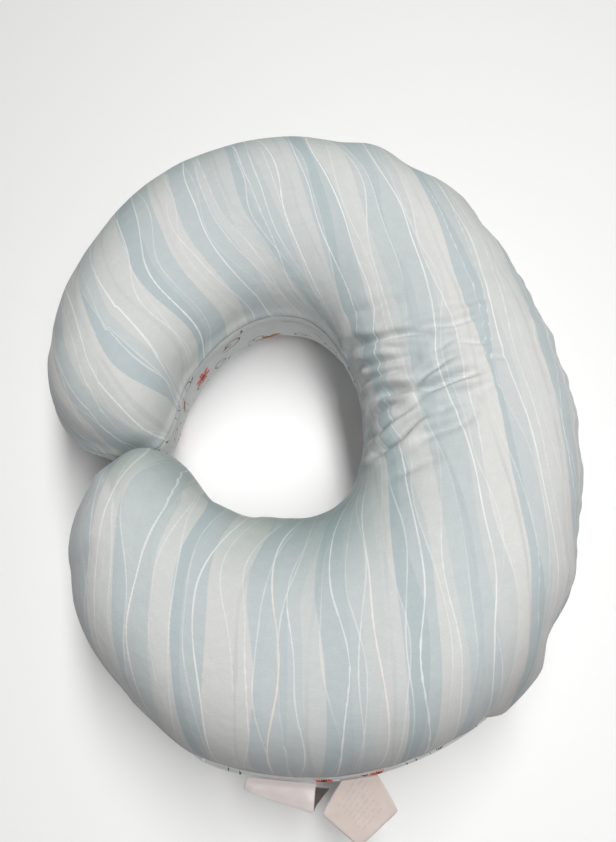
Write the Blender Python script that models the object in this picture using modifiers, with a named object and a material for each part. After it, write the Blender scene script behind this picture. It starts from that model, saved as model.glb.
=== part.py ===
"""Nursing pillow with a removable, zipped slipcover.

A fibre-filled C-shaped pillow in a woven casing, inside a slipcover that is
sewn from a front panel and a back panel.  A coil zipper closes the outer
bottom seam, an elastic tape gathers the inner seam at the back of the C, and
two care labels are sewn into the outer seam.

Frame: +Z up, the mouth of the C faces -X, the back of the C is at +X, and one
arm lies on each side of the XZ plane.  Every layer is made in two halves that
meet at that plane, because the two arms spread apart there in use.
"""
import math

import bmesh
import bpy
import numpy as np
from mathutils import Matrix, Vector

# ---------------------------------------------------------------- dimensions
MM = 0.001
SHIFT_X = -0.000367      # puts the middle of the whole box on the origin
SHIFT_Y = 0.022438

# centre line of each arm in plan, from the back of the C to the arm's end
ARM_NEAR = [(0.1185, 0.0), (0.0689, -0.1368), (-0.0220, -0.1681),
            (-0.1130, -0.1205), (-0.1350, -0.0765)]
ARM_FAR = [(0.1185, 0.0), (0.0689, 0.1368), (-0.0220, 0.1681),
           (-0.1200, 0.1015), (-0.1395, 0.0595)]
HALF_WIDTH_NEAR = [0.0776, 0.0833, 0.0836, 0.0690, 0.0475]
HALF_WIDTH_FAR = [0.0776, 0.0833, 0.0836, 0.0650, 0.0555]
TIP_LENGTH = 0.0582       # how far the rounded end reaches past the centre line
TIP_LEAN = 0.0096         # extra reach of the inner side of the end
TIP_OUTER_POWER = 1.0     # 1 is a round end, less is a blunter one
TIP_INNER_POWER = 0.60

HEIGHT = 0.1522           # floor to crown
SEAM_Z_OUTER = 0.0793
SEAM_Z_INNER = 0.0905
CROWN_POWER = 0.864       # fullness of the section above the seam
BELLY_POWER = 0.80        # fullness below the seam
SIDE_POWER = 0.90
FLAT_SINK = 0.0065        # how much of the belly the floor flattens

STATIONS = 13             # sections along one arm
TIP_STEPS = 7             # steps round the end of an arm
RINGS = [0.0, 12.0, 29.0, 46.0, 63.0, 77.0, 90.0]   # degrees from seam to ridge

SPLIT = 0.2 * MM          # half of the gap between the two halves
SEAM_GAP = 0.25 * MM      # half of the gap between the two panels' edges
COVER_T = 0.7 * MM
CASING_IN = 2.6 * MM      # casing's outer face below the cover's
CASING_T = 0.5 * MM
FILL_IN = 3.5 * MM
TIP_GAP = 0.4 * MM        # half of the gap between the two arms' ends
TIP_PLANE = -0.0085       # where the two ends press together

# zipper: a chain on a circular arc round the near arm, on a tilted band
ZIP_C = (-0.01014, -0.04832)
ZIP_R = 0.2023
ZIP_FROM, ZIP_TO = -124.0, -50.0       # degrees round the arc's centre
ZIP_TILT = 30.0                        # the band faces up by this much
BAND_HALF = 5.0 * MM                   # panel edge to the middle of the chain
BAND_RECESS = 7.0 * MM                 # room behind the chain
COIL_R = 1.1 * MM
COIL_B = 1.3 * MM
COIL_N = -0.5 * MM
TAPE_T = 0.6 * MM
SLIDER_AT = -53.0
SLIDER_LEN = 10.0 * MM

ELASTIC_HALF = 0.062      # half length of the elastic along the inner seam
ELASTIC_W = 6.0 * MM

# labels: outline as (out from the seam, along it), seen from above
SATIN_AT = -104.5
SATIN_OUTLINE = [(3.4 * MM, -22 * MM), (12 * MM, -21 * MM), (26 * MM, 24 * MM), (3.4 * MM, 24 * MM)]
WOVEN_AT = -91.0
WOVEN_OUTLINE = [(3.4 * MM, -14 * MM), (24 * MM, -27 * MM), (46 * MM, 3 * MM),
                 (25 * MM, 31 * MM), (3.4 * MM, 13 * MM)]
PLY_OUTLINE = [(4.0 * MM, -12 * MM), (22 * MM, -23 * MM), (42 * MM, 4 * MM),
               (27 * MM, 28 * MM), (4.0 * MM, 12 * MM)]
LABEL_SLOPE = 18.0        # the labels droop by this much

COLOURS = {
    "front": (0.55, 0.63, 0.65, 1), "back": (0.78, 0.79, 0.78, 1),
    "white": (0.86, 0.84, 0.82, 1), "nylon": (0.90, 0.88, 0.86, 1),
    "fill": (0.93, 0.93, 0.92, 1), "casing": (0.85, 0.85, 0.83, 1),
    "satin": (0.84, 0.80, 0.78, 1), "paper": (0.80, 0.76, 0.74, 1),
    "enamel": (0.88, 0.87, 0.85, 1),
}

# ------------------------------------------------------------------- scene
for ob in list(bpy.data.objects):
    bpy.data.objects.remove(ob, do_unlink=True)

PARTS = bpy.data.collections.new("nursing_pillow")
CUTTERS = bpy.data.collections.new("cutters")
bpy.context.scene.collection.children.link(PARTS)
bpy.context.scene.collection.children.link(CUTTERS)


def material(name, colour, rough, metal=0.0):
    mat = bpy.data.materials.get(name)
    if mat is None:
        mat = bpy.data.materials.new(name)
        mat.use_nodes = True
        b = mat.node_tree.nodes["Principled BSDF"]
        b.inputs["Base Color"].default_value = COLOURS[colour]
        b.inputs["Roughness"].default_value = rough
        b.inputs["Metallic"].default_value = metal
    return mat


def add_object(name, mesh, mat, collection=PARTS, smooth=True):
    ob = bpy.data.objects.new(name, mesh)
    collection.objects.link(ob)
    ob.data.materials.append(mat)
    if smooth:
        mesh.shade_smooth()
        mesh.set_sharp_from_angle(angle=math.radians(50))
    return ob


# ------------------------------------------------------------ plan geometry
def spline(t, y, t_new, slope0):
    """Cubic spline through (t, y): slope0 at the start, free at the end."""
    t, y = np.asarray(t, float), np.asarray(y, float)
    n = len(t)
    h = np.diff(t)
    a = np.zeros((n, n))
    r = np.zeros(n)
    a[0, 0], a[0, 1] = 2 * h[0], h[0]
    r[0] = 6 * ((y[1] - y[0]) / h[0] - slope0)
    for i in range(1, n - 1):
        a[i, i - 1], a[i, i], a[i, i + 1] = h[i - 1], 2 * (h[i - 1] + h[i]), h[i]
        r[i] = 6 * ((y[i + 1] - y[i]) / h[i] - (y[i] - y[i - 1]) / h[i - 1])
    a[-1, -1] = 1.0
    m = np.linalg.solve(a, r)
    t_new = np.asarray(t_new, float)
    k = np.clip(np.searchsorted(t, t_new) - 1, 0, n - 2)
    u, v = t[k + 1] - t_new, t_new - t[k]
    val = (m[k] * u**3 + m[k + 1] * v**3) / (6 * h[k]) \
        + (y[k] / h[k] - m[k] * h[k] / 6) * u + (y[k + 1] / h[k] - m[k + 1] * h[k] / 6) * v
    slope = (-m[k] * u**2 + m[k + 1] * v**2) / (2 * h[k]) \
        + (y[k + 1] - y[k]) / h[k] - (m[k + 1] - m[k]) * h[k] / 6
    return val, slope


def signed_power(x, p):
    return math.copysign(abs(x) ** p, x)


def on_zip_arc(p, n):
    """Distance from p along n to the zipper's circle, in plan."""
    d = np.asarray(p) - np.asarray(ZIP_C)
    b = float(np.dot(d, n))
    return -b + math.sqrt(b * b - (float(np.dot(d, d)) - ZIP_R**2))


def plan(side):
    """Outline loop of one half: outer side, round the end, inner side.

    Each entry: base point, rim vector, 0 outer .. 1 inner, band weight.
    """
    pts = np.array(ARM_NEAR if side < 0 else ARM_FAR)
    wid = HALF_WIDTH_NEAR if side < 0 else HALF_WIDTH_FAR
    t = np.concatenate([[0], np.cumsum(np.linalg.norm(np.diff(pts, axis=0), axis=1))])
    s = np.linspace(0, t[-1], STATIONS)
    x, dx = spline(t, pts[:, 0], s, 0.0)
    y, dy = spline(t, pts[:, 1], s, float(side))
    w, _ = spline(t, wid, s, 0.0)
    c = np.stack([x, y], 1)
    tan = np.stack([dx, dy], 1)
    tan /= np.linalg.norm(tan, axis=1)[:, None]
    out = np.stack([tan[:, 1], -tan[:, 0]], 1) * side     # away from the hole
    loop = []
    for i in range(STATIONS):
        wo = w[i]
        band = 0.0
        if side < 0:
            arc = on_zip_arc(c[i], out[i])
            p = c[i] + out[i] * arc
            ang = math.degrees(math.atan2(p[1] - ZIP_C[1], p[0] - ZIP_C[0]))
            inside = ZIP_FROM - 1.0 <= ang <= ZIP_TO + 1.0
            edge = min(ang - ZIP_FROM, ZIP_TO - ang)
            near = 1.0 if inside else max(0.0, 1.0 + edge / 25.0)
            wo = w[i] + (arc - w[i]) * near * near * (3 - 2 * near)
            band = 1.0 if inside else 0.0
        loop.append((c[i], out[i] * wo, 0.0, band))
    for k in range(1, TIP_STEPS):
        a = math.pi * k / TIP_STEPS
        power = TIP_OUTER_POWER if math.cos(a) > 0 else TIP_INNER_POWER
        ca, sa = signed_power(math.cos(a), power), math.sin(a) ** power
        reach = TIP_LENGTH * sa + TIP_LEAN * sa * (1 - ca) / 2
        loop.append((c[-1], out[-1] * w[-1] * ca + tan[-1] * reach, k / TIP_STEPS, 0.0))
    for i in range(STATIONS - 1, -1, -1):
        loop.append((c[i], -out[i] * w[i], 1.0, 0.0))
    return loop


PLANS = {-1: plan(-1), 1: plan(1)}


def band_frame(p):
    """Radial, across-the-band and band-normal directions at plan point p."""
    d = Vector((p[0] - ZIP_C[0], p[1] - ZIP_C[1], 0)).normalized()
    tilt = math.radians(ZIP_TILT)
    across = Vector((-d.x * math.sin(tilt), -d.y * math.sin(tilt), math.cos(tilt)))
    normal = Vector((d.x * math.cos(tilt), d.y * math.cos(tilt), math.sin(tilt)))
    return d, across, normal


def ring_point(side, k, deg, up, band_open, recess):
    """Point of the section at loop entry k, deg from the seam to the ridge."""
    c, rim, kind, band = PLANS[side][k]
    f = math.radians(deg)
    cx = abs(math.cos(f)) ** SIDE_POWER if deg < 90 else 0.0
    seam_z = SEAM_Z_OUTER * (1 - kind) + SEAM_Z_INNER * kind
    mid_z = 0.5 * (SEAM_Z_OUTER + SEAM_Z_INNER)
    z0 = seam_z * cx + mid_z * (1 - cx)
    p = Vector((c[0] + rim[0] * cx, c[1] + rim[1] * cx, 0))
    if up > 0:
        p.z = z0 + (HEIGHT - z0) * math.sin(f) ** CROWN_POWER
    else:
        p.z = max(0.0, z0 - (z0 + FLAT_SINK) * math.sin(f) ** BELLY_POWER)
    if deg == 0:
        p.z += up * SEAM_GAP
        if band:
            d, across, _ = band_frame(p)
            if band_open:
                p += across * (BAND_HALF * up)
            elif recess:
                p -= d * BAND_RECESS
    last = len(PLANS[side]) - 1
    if k in (0, last):
        p.y = side * SPLIT
    elif side * (p.y - TIP_PLANE) < TIP_GAP and p.x < 0:
        p.y = TIP_PLANE + side * TIP_GAP          # the two ends press flat
    return p


def surface(side, up, inset=0.0, band_open=True, recess=False):
    """Open bmesh of the panel above (up=1) or below (up=-1) the seam."""
    n = len(PLANS[side])
    bm = bmesh.new()
    rows = []
    for deg in RINGS[:-1]:
        rows.append([bm.verts.new(ring_point(side, k, deg, up, band_open, recess))
                     for k in range(n)])
    ridge = [bm.verts.new(ring_point(side, k, 90.0, up, band_open, recess))
             for k in range(STATIONS)]
    rows.append([ridge[min(k, n - 1 - k, STATIONS - 1)] for k in range(n)])
    for a, b in zip(rows[:-1], rows[1:]):
        for k in range(n - 1):
            quad = [a[k], a[k + 1], b[k + 1], b[k]]
            if b[k] is b[k + 1]:
                quad.pop()
            bm.faces.new(quad)
    bm.normal_update()
    top = max(bm.faces, key=lambda f: up * f.calc_center_median().z)
    if top.normal.z * up < 0:
        bmesh.ops.reverse_faces(bm, faces=bm.faces[:])
    bm.normal_update()
    if inset:
        ends = {v for row in rows for v in (row[0], row[-1])} | {ridge[0]}
        moves = {v: v.normal * (inset * v.calc_shell_factor()) for v in bm.verts}
        for v, m in moves.items():
            v.co -= m
            if v in ends:
                v.co.y = side * SPLIT
    return bm, rows


def to_mesh(bm, name):
    bm.normal_update()
    me = bpy.data.meshes.new(name)
    bm.to_mesh(me)
    bm.free()
    return me


def shell(name, side, up, inset, thick, mat, **kw):
    """One fabric panel: an open surface thickened inwards."""
    bm, rows = surface(side, up, inset, **kw)
    if inset:
        for k, v in enumerate(rows[0]):
            _, _, kind, _ = PLANS[side][k]
            v.co.z = SEAM_Z_OUTER * (1 - kind) + SEAM_Z_INNER * kind + up * SEAM_GAP
    ob = add_object(name, to_mesh(bm, name), mat)
    mod = ob.modifiers.new("thickness", "SOLIDIFY")
    mod.thickness = thick
    mod.offset = -1.0
    mod.use_even_offset = True
    return ob


cotton_front = material("front_cotton", "front", 0.85)
cotton_back = material("back_cotton", "back", 0.85)
casing_mat = material("casing_cloth", "casing", 0.9)
fill_mat = material("fibre", "fill", 0.95)
tape_mat = material("zip_tape", "white", 0.8)
nylon_mat = material("zip_nylon", "nylon", 0.4)
enamel_mat = material("zip_enamel", "enamel", 0.35, 0.2)
elastic_mat = material("elastic_tape", "white", 0.8)
satin_mat = material("label_satin", "satin", 0.35)
paper_mat = material("label_woven", "paper", 0.7)

for side, tag in ((-1, "near"), (1, "far")):
    shell("cover_front_" + tag, side, 1, 0.0, COVER_T, cotton_front)
    shell("cover_back_" + tag, side, -1, 0.0, COVER_T, cotton_back)
    shell("casing_front_" + tag, side, 1, CASING_IN, CASING_T, casing_mat,
          band_open=False, recess=True)
    shell("casing_back_" + tag, side, -1, CASING_IN, CASING_T, casing_mat,
          band_open=False, recess=True)

# --------------------------------------------------------------- fibre fill
for side, tag in ((-1, "near"), (1, "far")):
    bm, rows = surface(side, 1, FILL_IN, band_open=False, recess=True)
    low, low_rows = surface(side, -1, FILL_IN, band_open=False, recess=True)
    for k, (a, b) in enumerate(zip(rows[0], low_rows[0])):
        _, _, kind, _ = PLANS[side][k]
        p = (a.co + b.co) / 2
        p.z = SEAM_Z_OUTER * (1 - kind) + SEAM_Z_INNER * kind
        a.co = p
        b.co = p
    low_mesh = to_mesh(low, "fill_low")
    bm.from_mesh(low_mesh)
    bpy.data.meshes.remove(low_mesh)
    bmesh.ops.remove_doubles(bm, verts=bm.verts[:], dist=0.00002)
    rim = [e for e in bm.edges if e.is_boundary]
    bmesh.ops.contextual_create(bm, geom=rim)         # the flat end at the XZ plane
    bmesh.ops.triangulate(bm, faces=[f for f in bm.faces if len(f.verts) > 4])
    bmesh.ops.recalc_face_normals(bm, faces=bm.faces[:])
    add_object("fibre_fill_" + tag, to_mesh(bm, "fibre_fill_" + tag), fill_mat)


# ------------------------------------------------------------ zipper tapes
def strip(name, rows, thick, mat, out):
    """A woven tape: rows of points across it, thickened away from out."""
    bm = bmesh.new()
    grid = [[bm.verts.new(p) for p in row] for row in rows]
    for a, b in zip(grid[:-1], grid[1:]):
        for k in range(len(a) - 1):
            bm.faces.new((a[k], a[k + 1], b[k + 1], b[k]))
    bm.normal_update()
    bm.faces.ensure_lookup_table()
    if bm.faces[0].normal.dot(out) < 0:
        bmesh.ops.reverse_faces(bm, faces=bm.faces[:])
    ob = add_object(name, to_mesh(bm, name), mat)
    mod = ob.modifiers.new("thickness", "SOLIDIFY")
    mod.thickness = thick
    mod.offset = -1.0
    mod.use_even_offset = True
    return ob


def seam_point(k, side=-1):
    c, rim, kind, _ = PLANS[side][k]
    return Vector((c[0] + rim[0], c[1] + rim[1],
                   SEAM_Z_OUTER * (1 - kind) + SEAM_Z_INNER * kind))


band_stations = [k for k in range(STATIONS) if PLANS[-1][k][3] > 0]
for up, tag in ((1, "front"), (-1, "back")):
    rows = []
    for k in band_stations:
        p = seam_point(k)
        d, across, normal = band_frame(p)
        edge = ring_point(-1, k, 0.0, up, True, False)
        ring = ring_point(-1, k, RINGS[1], up, True, False)
        down = (ring - edge).normalized()
        inward = down.cross(d.cross(Vector((0, 0, 1)))).normalized()
        if inward.dot(d) > 0:
            inward = -inward
        rows.append([
            p + across * (up * 2.7 * MM) + normal * (-1.1 * MM),
            p + across * (up * 5.3 * MM) + normal * (-1.25 * MM),
            edge + down * (6.0 * MM) + inward * (1.35 * MM),
        ])
    # the ends stop short of the places where the panels close up
    for a, b in ((0, 1), (-1, -2)):
        rows[a] = [p.lerp(q, 0.04) for p, q in zip(rows[a], rows[b])]
    strip("zipper_tape_" + tag, rows, TAPE_T, tape_mat,
          band_frame(seam_point(band_stations[0]))[0])

# ------------------------------------------------------------ zipper coils
def arc_point(deg, across_m, normal_m):
    a = math.radians(deg)
    p = Vector((ZIP_C[0] + ZIP_R * math.cos(a), ZIP_C[1] + ZIP_R * math.sin(a), SEAM_Z_OUTER))
    _, across, normal = band_frame(p)
    return p + across * across_m + normal * normal_m


def arc_frame(deg):
    """Matrix at a place on the chain: X along it, Y across it, Z out of it."""
    p = arc_point(deg, 0, 0)
    _, across, normal = band_frame(p)
    along = across.cross(normal)
    m = Matrix((along, across, normal)).transposed().to_4x4()
    m.translation = p
    return m


COIL_FROM, COIL_TO = ZIP_FROM + 5.0, SLIDER_AT + 1.8
for up, tag in ((1, "front"), (-1, "back")):
    cu = bpy.data.curves.new("zipper_coil_" + tag, "CURVE")
    cu.dimensions = "3D"
    cu.bevel_depth = COIL_R
    cu.bevel_resolution = 2
    cu.use_fill_caps = True
    sp = cu.splines.new("POLY")
    count = 26
    sp.points.add(count - 1)
    for i in range(count):
        p = arc_point(COIL_FROM + (COIL_TO - COIL_FROM) * i / (count - 1), up * COIL_B, COIL_N)
        sp.points[i].co = (p.x, p.y, p.z, 1)
    ob = bpy.data.objects.new("zipper_coil_" + tag, cu)
    ob.data.materials.append(nylon_mat)
    PARTS.objects.link(ob)


def block(name, size, centre, frame, mat, collection=PARTS, bevel=0.0):
    """A rectangular block in a local frame, its size applied."""
    bpy.ops.mesh.primitive_cube_add(size=1.0)
    ob = bpy.context.active_object
    ob.name = name
    ob.data.name = name
    for c in list(ob.users_collection):
        c.objects.unlink(ob)
    collection.objects.link(ob)
    ob.data.transform(Matrix.Translation(Vector(centre)) @ Matrix.Diagonal((*size, 1)))
    ob.matrix_world = frame
    ob.data.materials.append(mat)
    if bevel:
        mod = ob.modifiers.new("edges", "BEVEL")
        mod.width = bevel
        mod.segments = 2
    if collection is CUTTERS:
        ob.hide_render = True
        ob.display_type = "WIRE"
    return ob


def boolean(ob, other, operation):
    mod = ob.modifiers.new(operation.lower(), "BOOLEAN")
    mod.operation = operation
    mod.solver = "EXACT"
    mod.object = other


# stops clamped on the chain's ends
end_frame = arc_frame(COIL_FROM)
block("zipper_bottom_stop", (2.6 * MM, 5.2 * MM, 2.6 * MM), (-1.75 * MM, 0, -0.4 * MM),
      end_frame, enamel_mat, bevel=0.4 * MM)
close_frame = arc_frame(COIL_TO)
for up, tag in ((1, "front"), (-1, "back")):
    block("zipper_top_stop_" + tag, (2.2 * MM, 2.2 * MM, 2.4 * MM),
          (1.5 * MM, up * 1.35 * MM, -0.4 * MM), close_frame, enamel_mat, bevel=0.3 * MM)

# ------------------------------------------------------------ slider, pull
slider_frame = arc_frame(SLIDER_AT)
axis = bpy.data.objects.new("slider_axis", None)
axis.location = (ZIP_C[0], ZIP_C[1], 0)
PARTS.objects.link(axis)

slider = block("zipper_slider", (SLIDER_LEN, 8.2 * MM, 2.9 * MM), (0, 0, 0.9 * MM),
               slider_frame, enamel_mat, bevel=0.5 * MM)
tunnel = block("slider_tunnel", (14 * MM, 5.5 * MM, 2.4 * MM), (0, 0, -0.25 * MM),
               slider_frame, enamel_mat, CUTTERS)
crown = block("slider_crown", (6.0 * MM, 1.7 * MM, 3.8 * MM), (0, 0, 3.8 * MM),
              slider_frame, enamel_mat, CUTTERS)
eye = block("slider_eye", (3.4 * MM, 4.0 * MM, 2.3 * MM), (0, 0, 3.55 * MM),
            slider_frame, enamel_mat, CUTTERS)
boolean(slider, tunnel, "DIFFERENCE")
boolean(slider, crown, "UNION")
boolean(slider, eye, "DIFFERENCE")

PIN_N = 3.55 * MM
tab_frame = slider_frame @ Matrix.Translation((0, 0, PIN_N))
pull = block("zipper_pull_tab", (23.5 * MM, 7.0 * MM, 1.0 * MM), (-11.25 * MM, 0, 0),
             tab_frame, enamel_mat, bevel=0.3 * MM)
window = block("pull_window", (4.4 * MM, 3.4 * MM, 3.0 * MM), (-2.75 * MM, 0, 0),
               tab_frame, enamel_mat, CUTTERS)
grip = block("pull_grip", (7.0 * MM, 2.6 * MM, 3.0 * MM), (-16.5 * MM, 0, 0),
             tab_frame, enamel_mat, CUTTERS)
boolean(pull, window, "DIFFERENCE")
boolean(pull, grip, "DIFFERENCE")

# ------------------------------------------------------------ inner elastic
for side, tag in ((-1, "near"), (1, "far")):
    n = len(PLANS[side])
    rows = []
    run = 0.0
    prev = None
    for i in range(STATIONS):
        k = n - 1 - i
        seam = seam_point(k, side)
        if prev is not None:
            run += (seam - prev).length
        prev = seam
        c, rim, _, _ = PLANS[side][k]
        inward = -Vector((rim[0], rim[1], 0)).normalized()
        base = ring_point(side, k, 0.0, 1, False, False)
        ring = ring_point(side, k, RINGS[1], 1, False, False)
        up_dir = (ring - base).normalized()
        rows.append([base + up_dir * (0.6 * MM) + inward * (1.15 * MM),
                     base + up_dir * (0.6 * MM + ELASTIC_W) + inward * (1.2 * MM)])
        if i == 0:
            for p in rows[0]:
                p.y = side * SPLIT
        if run > ELASTIC_HALF:
            break
    strip("seam_elastic_" + tag, rows, 0.7 * MM, elastic_mat, Vector((-1, 0, 0)))


# ------------------------------------------------------------------ labels
def label(name, deg, outline, t, lift, mat):
    """A label sewn into the lower side of the chain, drooping outwards."""
    base = arc_point(deg, -5.3 * MM, 0)
    d, _, _ = band_frame(base)
    slope = math.radians(LABEL_SLOPE)
    out = Vector((d.x * math.cos(slope), d.y * math.cos(slope), -math.sin(slope)))
    along = Vector((0, 0, 1)).cross(out).normalized()
    normal = out.cross(along)
    m = Matrix((out, along, normal)).transposed().to_4x4()
    m.translation = base + normal * lift
    cu = bpy.data.curves.new(name, "CURVE")
    cu.dimensions = "2D"
    cu.fill_mode = "BOTH"
    cu.extrude = t / 2
    sp = cu.splines.new("POLY")
    sp.points.add(len(outline) - 1)
    for i, (u, v) in enumerate(outline):
        sp.points[i].co = (u, v, 0, 1)
    sp.use_cyclic_u = True
    ob = bpy.data.objects.new(name, cu)
    ob.matrix_world = m
    ob.data.materials.append(mat)
    PARTS.objects.link(ob)
    return ob


label("care_label_satin", SATIN_AT, SATIN_OUTLINE, 1.6 * MM, 0.0, satin_mat)
label("care_label_woven", WOVEN_AT, WOVEN_OUTLINE, 0.5 * MM, 0.0, paper_mat)
label("care_label_woven_ply", WOVEN_AT, PLY_OUTLINE, 0.5 * MM, -0.9 * MM, paper_mat)

# slider and pull turn about the arc's centre, so their origin is put there
for ob in (slider, pull):
    world = ob.matrix_world.copy()
    ob.parent = axis
    ob.matrix_parent_inverse = Matrix.Identity(4)
    ob.matrix_basis = Matrix.Translation(axis.location).inverted() @ world

shift = bpy.data.objects.new("frame_origin", None)
PARTS.objects.link(shift)
bpy.context.view_layer.update()
for ob in list(PARTS.objects) + list(CUTTERS.objects):
    if ob.parent is None and ob is not shift:
        ob.parent = shift
shift.location = (SHIFT_X, SHIFT_Y, 0.0)
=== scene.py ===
"""Looks for the nursing pillow: a printed cotton slipcover with a coil zipper
and two care labels, over a cased fibre pillow.  Metres, +Z up."""
import math

import bmesh
import bpy
import numpy as np
from mathutils import Matrix, Vector


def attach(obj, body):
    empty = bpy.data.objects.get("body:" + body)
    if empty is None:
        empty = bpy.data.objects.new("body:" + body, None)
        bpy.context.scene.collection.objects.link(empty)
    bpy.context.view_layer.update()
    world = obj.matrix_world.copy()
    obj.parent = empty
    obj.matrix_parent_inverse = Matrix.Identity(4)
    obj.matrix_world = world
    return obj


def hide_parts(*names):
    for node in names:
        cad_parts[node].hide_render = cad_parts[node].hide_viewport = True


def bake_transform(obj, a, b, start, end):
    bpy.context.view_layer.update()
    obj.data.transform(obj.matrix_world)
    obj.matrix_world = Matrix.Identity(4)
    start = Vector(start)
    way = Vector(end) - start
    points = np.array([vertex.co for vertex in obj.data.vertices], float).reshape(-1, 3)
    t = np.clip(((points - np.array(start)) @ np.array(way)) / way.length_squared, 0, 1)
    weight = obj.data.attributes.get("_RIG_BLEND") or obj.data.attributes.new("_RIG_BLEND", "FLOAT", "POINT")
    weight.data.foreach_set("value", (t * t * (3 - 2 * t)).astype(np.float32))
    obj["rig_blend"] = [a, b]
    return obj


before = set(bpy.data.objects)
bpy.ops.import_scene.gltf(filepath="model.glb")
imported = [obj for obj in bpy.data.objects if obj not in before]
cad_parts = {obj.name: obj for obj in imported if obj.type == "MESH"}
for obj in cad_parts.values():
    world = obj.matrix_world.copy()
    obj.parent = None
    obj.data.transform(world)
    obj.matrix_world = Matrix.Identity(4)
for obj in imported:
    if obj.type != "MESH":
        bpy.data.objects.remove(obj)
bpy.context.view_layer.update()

MM = 0.001
SHIFT = np.array([-0.000367, 0.022438])

# ------------------------------------------------------------------ the form
ARM = {-1: [(0.1185, 0.0), (0.0689, -0.1368), (-0.0220, -0.1681), (-0.1130, -0.1205), (-0.1350, -0.0765)],
       1: [(0.1185, 0.0), (0.0689, 0.1368), (-0.0220, 0.1681), (-0.1200, 0.1015), (-0.1395, 0.0595)]}
HALF_WIDTH = {-1: [0.0776, 0.0833, 0.0836, 0.0690, 0.0475], 1: [0.0776, 0.0833, 0.0836, 0.0650, 0.0555]}
TIP_LENGTH, TIP_LEAN, TIP_OUTER, TIP_INNER = 0.0582, 0.0096, 1.0, 0.60
HEIGHT, SEAM_OUT, SEAM_IN = 0.1522, 0.0793, 0.0905
CROWN, BELLY, SIDE, SINK = 0.864, 0.80, 0.90, 0.0065
TIP_PLANE, TIP_GAP = -0.0085, 0.5 * MM
ZIP_C = np.array([-0.01014, -0.04832])
ZIP_R, ZIP_FROM, ZIP_TO, ZIP_TILT = 0.2023, -124.0, -50.0, math.radians(30)
BAND_HALF = 5.0 * MM
N_ST, N_TIP, N_RING = 100, 32, 25
CUT = {-1: 0.92, 1: 0.90}          # how much of the arm's bend is cut into the cloth
SLIDER_AT = -53.0
COIL_FROM, COIL_TO = ZIP_FROM + 5.0, SLIDER_AT + 1.8


def spline(t, y, tn, slope0):
    t, y = np.asarray(t, float), np.asarray(y, float)
    n, h = len(t), np.diff(t)
    a, r = np.zeros((n, n)), np.zeros(n)
    a[0, 0], a[0, 1] = 2 * h[0], h[0]
    r[0] = 6 * ((y[1] - y[0]) / h[0] - slope0)
    for i in range(1, n - 1):
        a[i, i - 1], a[i, i], a[i, i + 1] = h[i - 1], 2 * (h[i - 1] + h[i]), h[i]
        r[i] = 6 * ((y[i + 1] - y[i]) / h[i] - (y[i] - y[i - 1]) / h[i - 1])
    a[-1, -1] = 1.0
    m = np.linalg.solve(a, r)
    k = np.clip(np.searchsorted(t, tn) - 1, 0, n - 2)
    u, v = t[k + 1] - tn, tn - t[k]
    val = (m[k] * u**3 + m[k + 1] * v**3) / (6 * h[k]) + (y[k] / h[k] - m[k] * h[k] / 6) * u + (y[k + 1] / h[k] - m[k + 1] * h[k] / 6) * v
    slope = (-m[k] * u**2 + m[k + 1] * v**2) / (2 * h[k]) + (y[k + 1] - y[k]) / h[k] - (m[k + 1] - m[k]) * h[k] / 6
    return val, slope


def smooth(x, lo, hi):
    t = np.clip((np.asarray(x, float) - lo) / (np.asarray(hi, float) - lo), 0, 1)
    return t * t * (3 - 2 * t)


def unit(v):
    return v / np.maximum(np.linalg.norm(v, axis=-1, keepdims=True), 1e-12)


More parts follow.
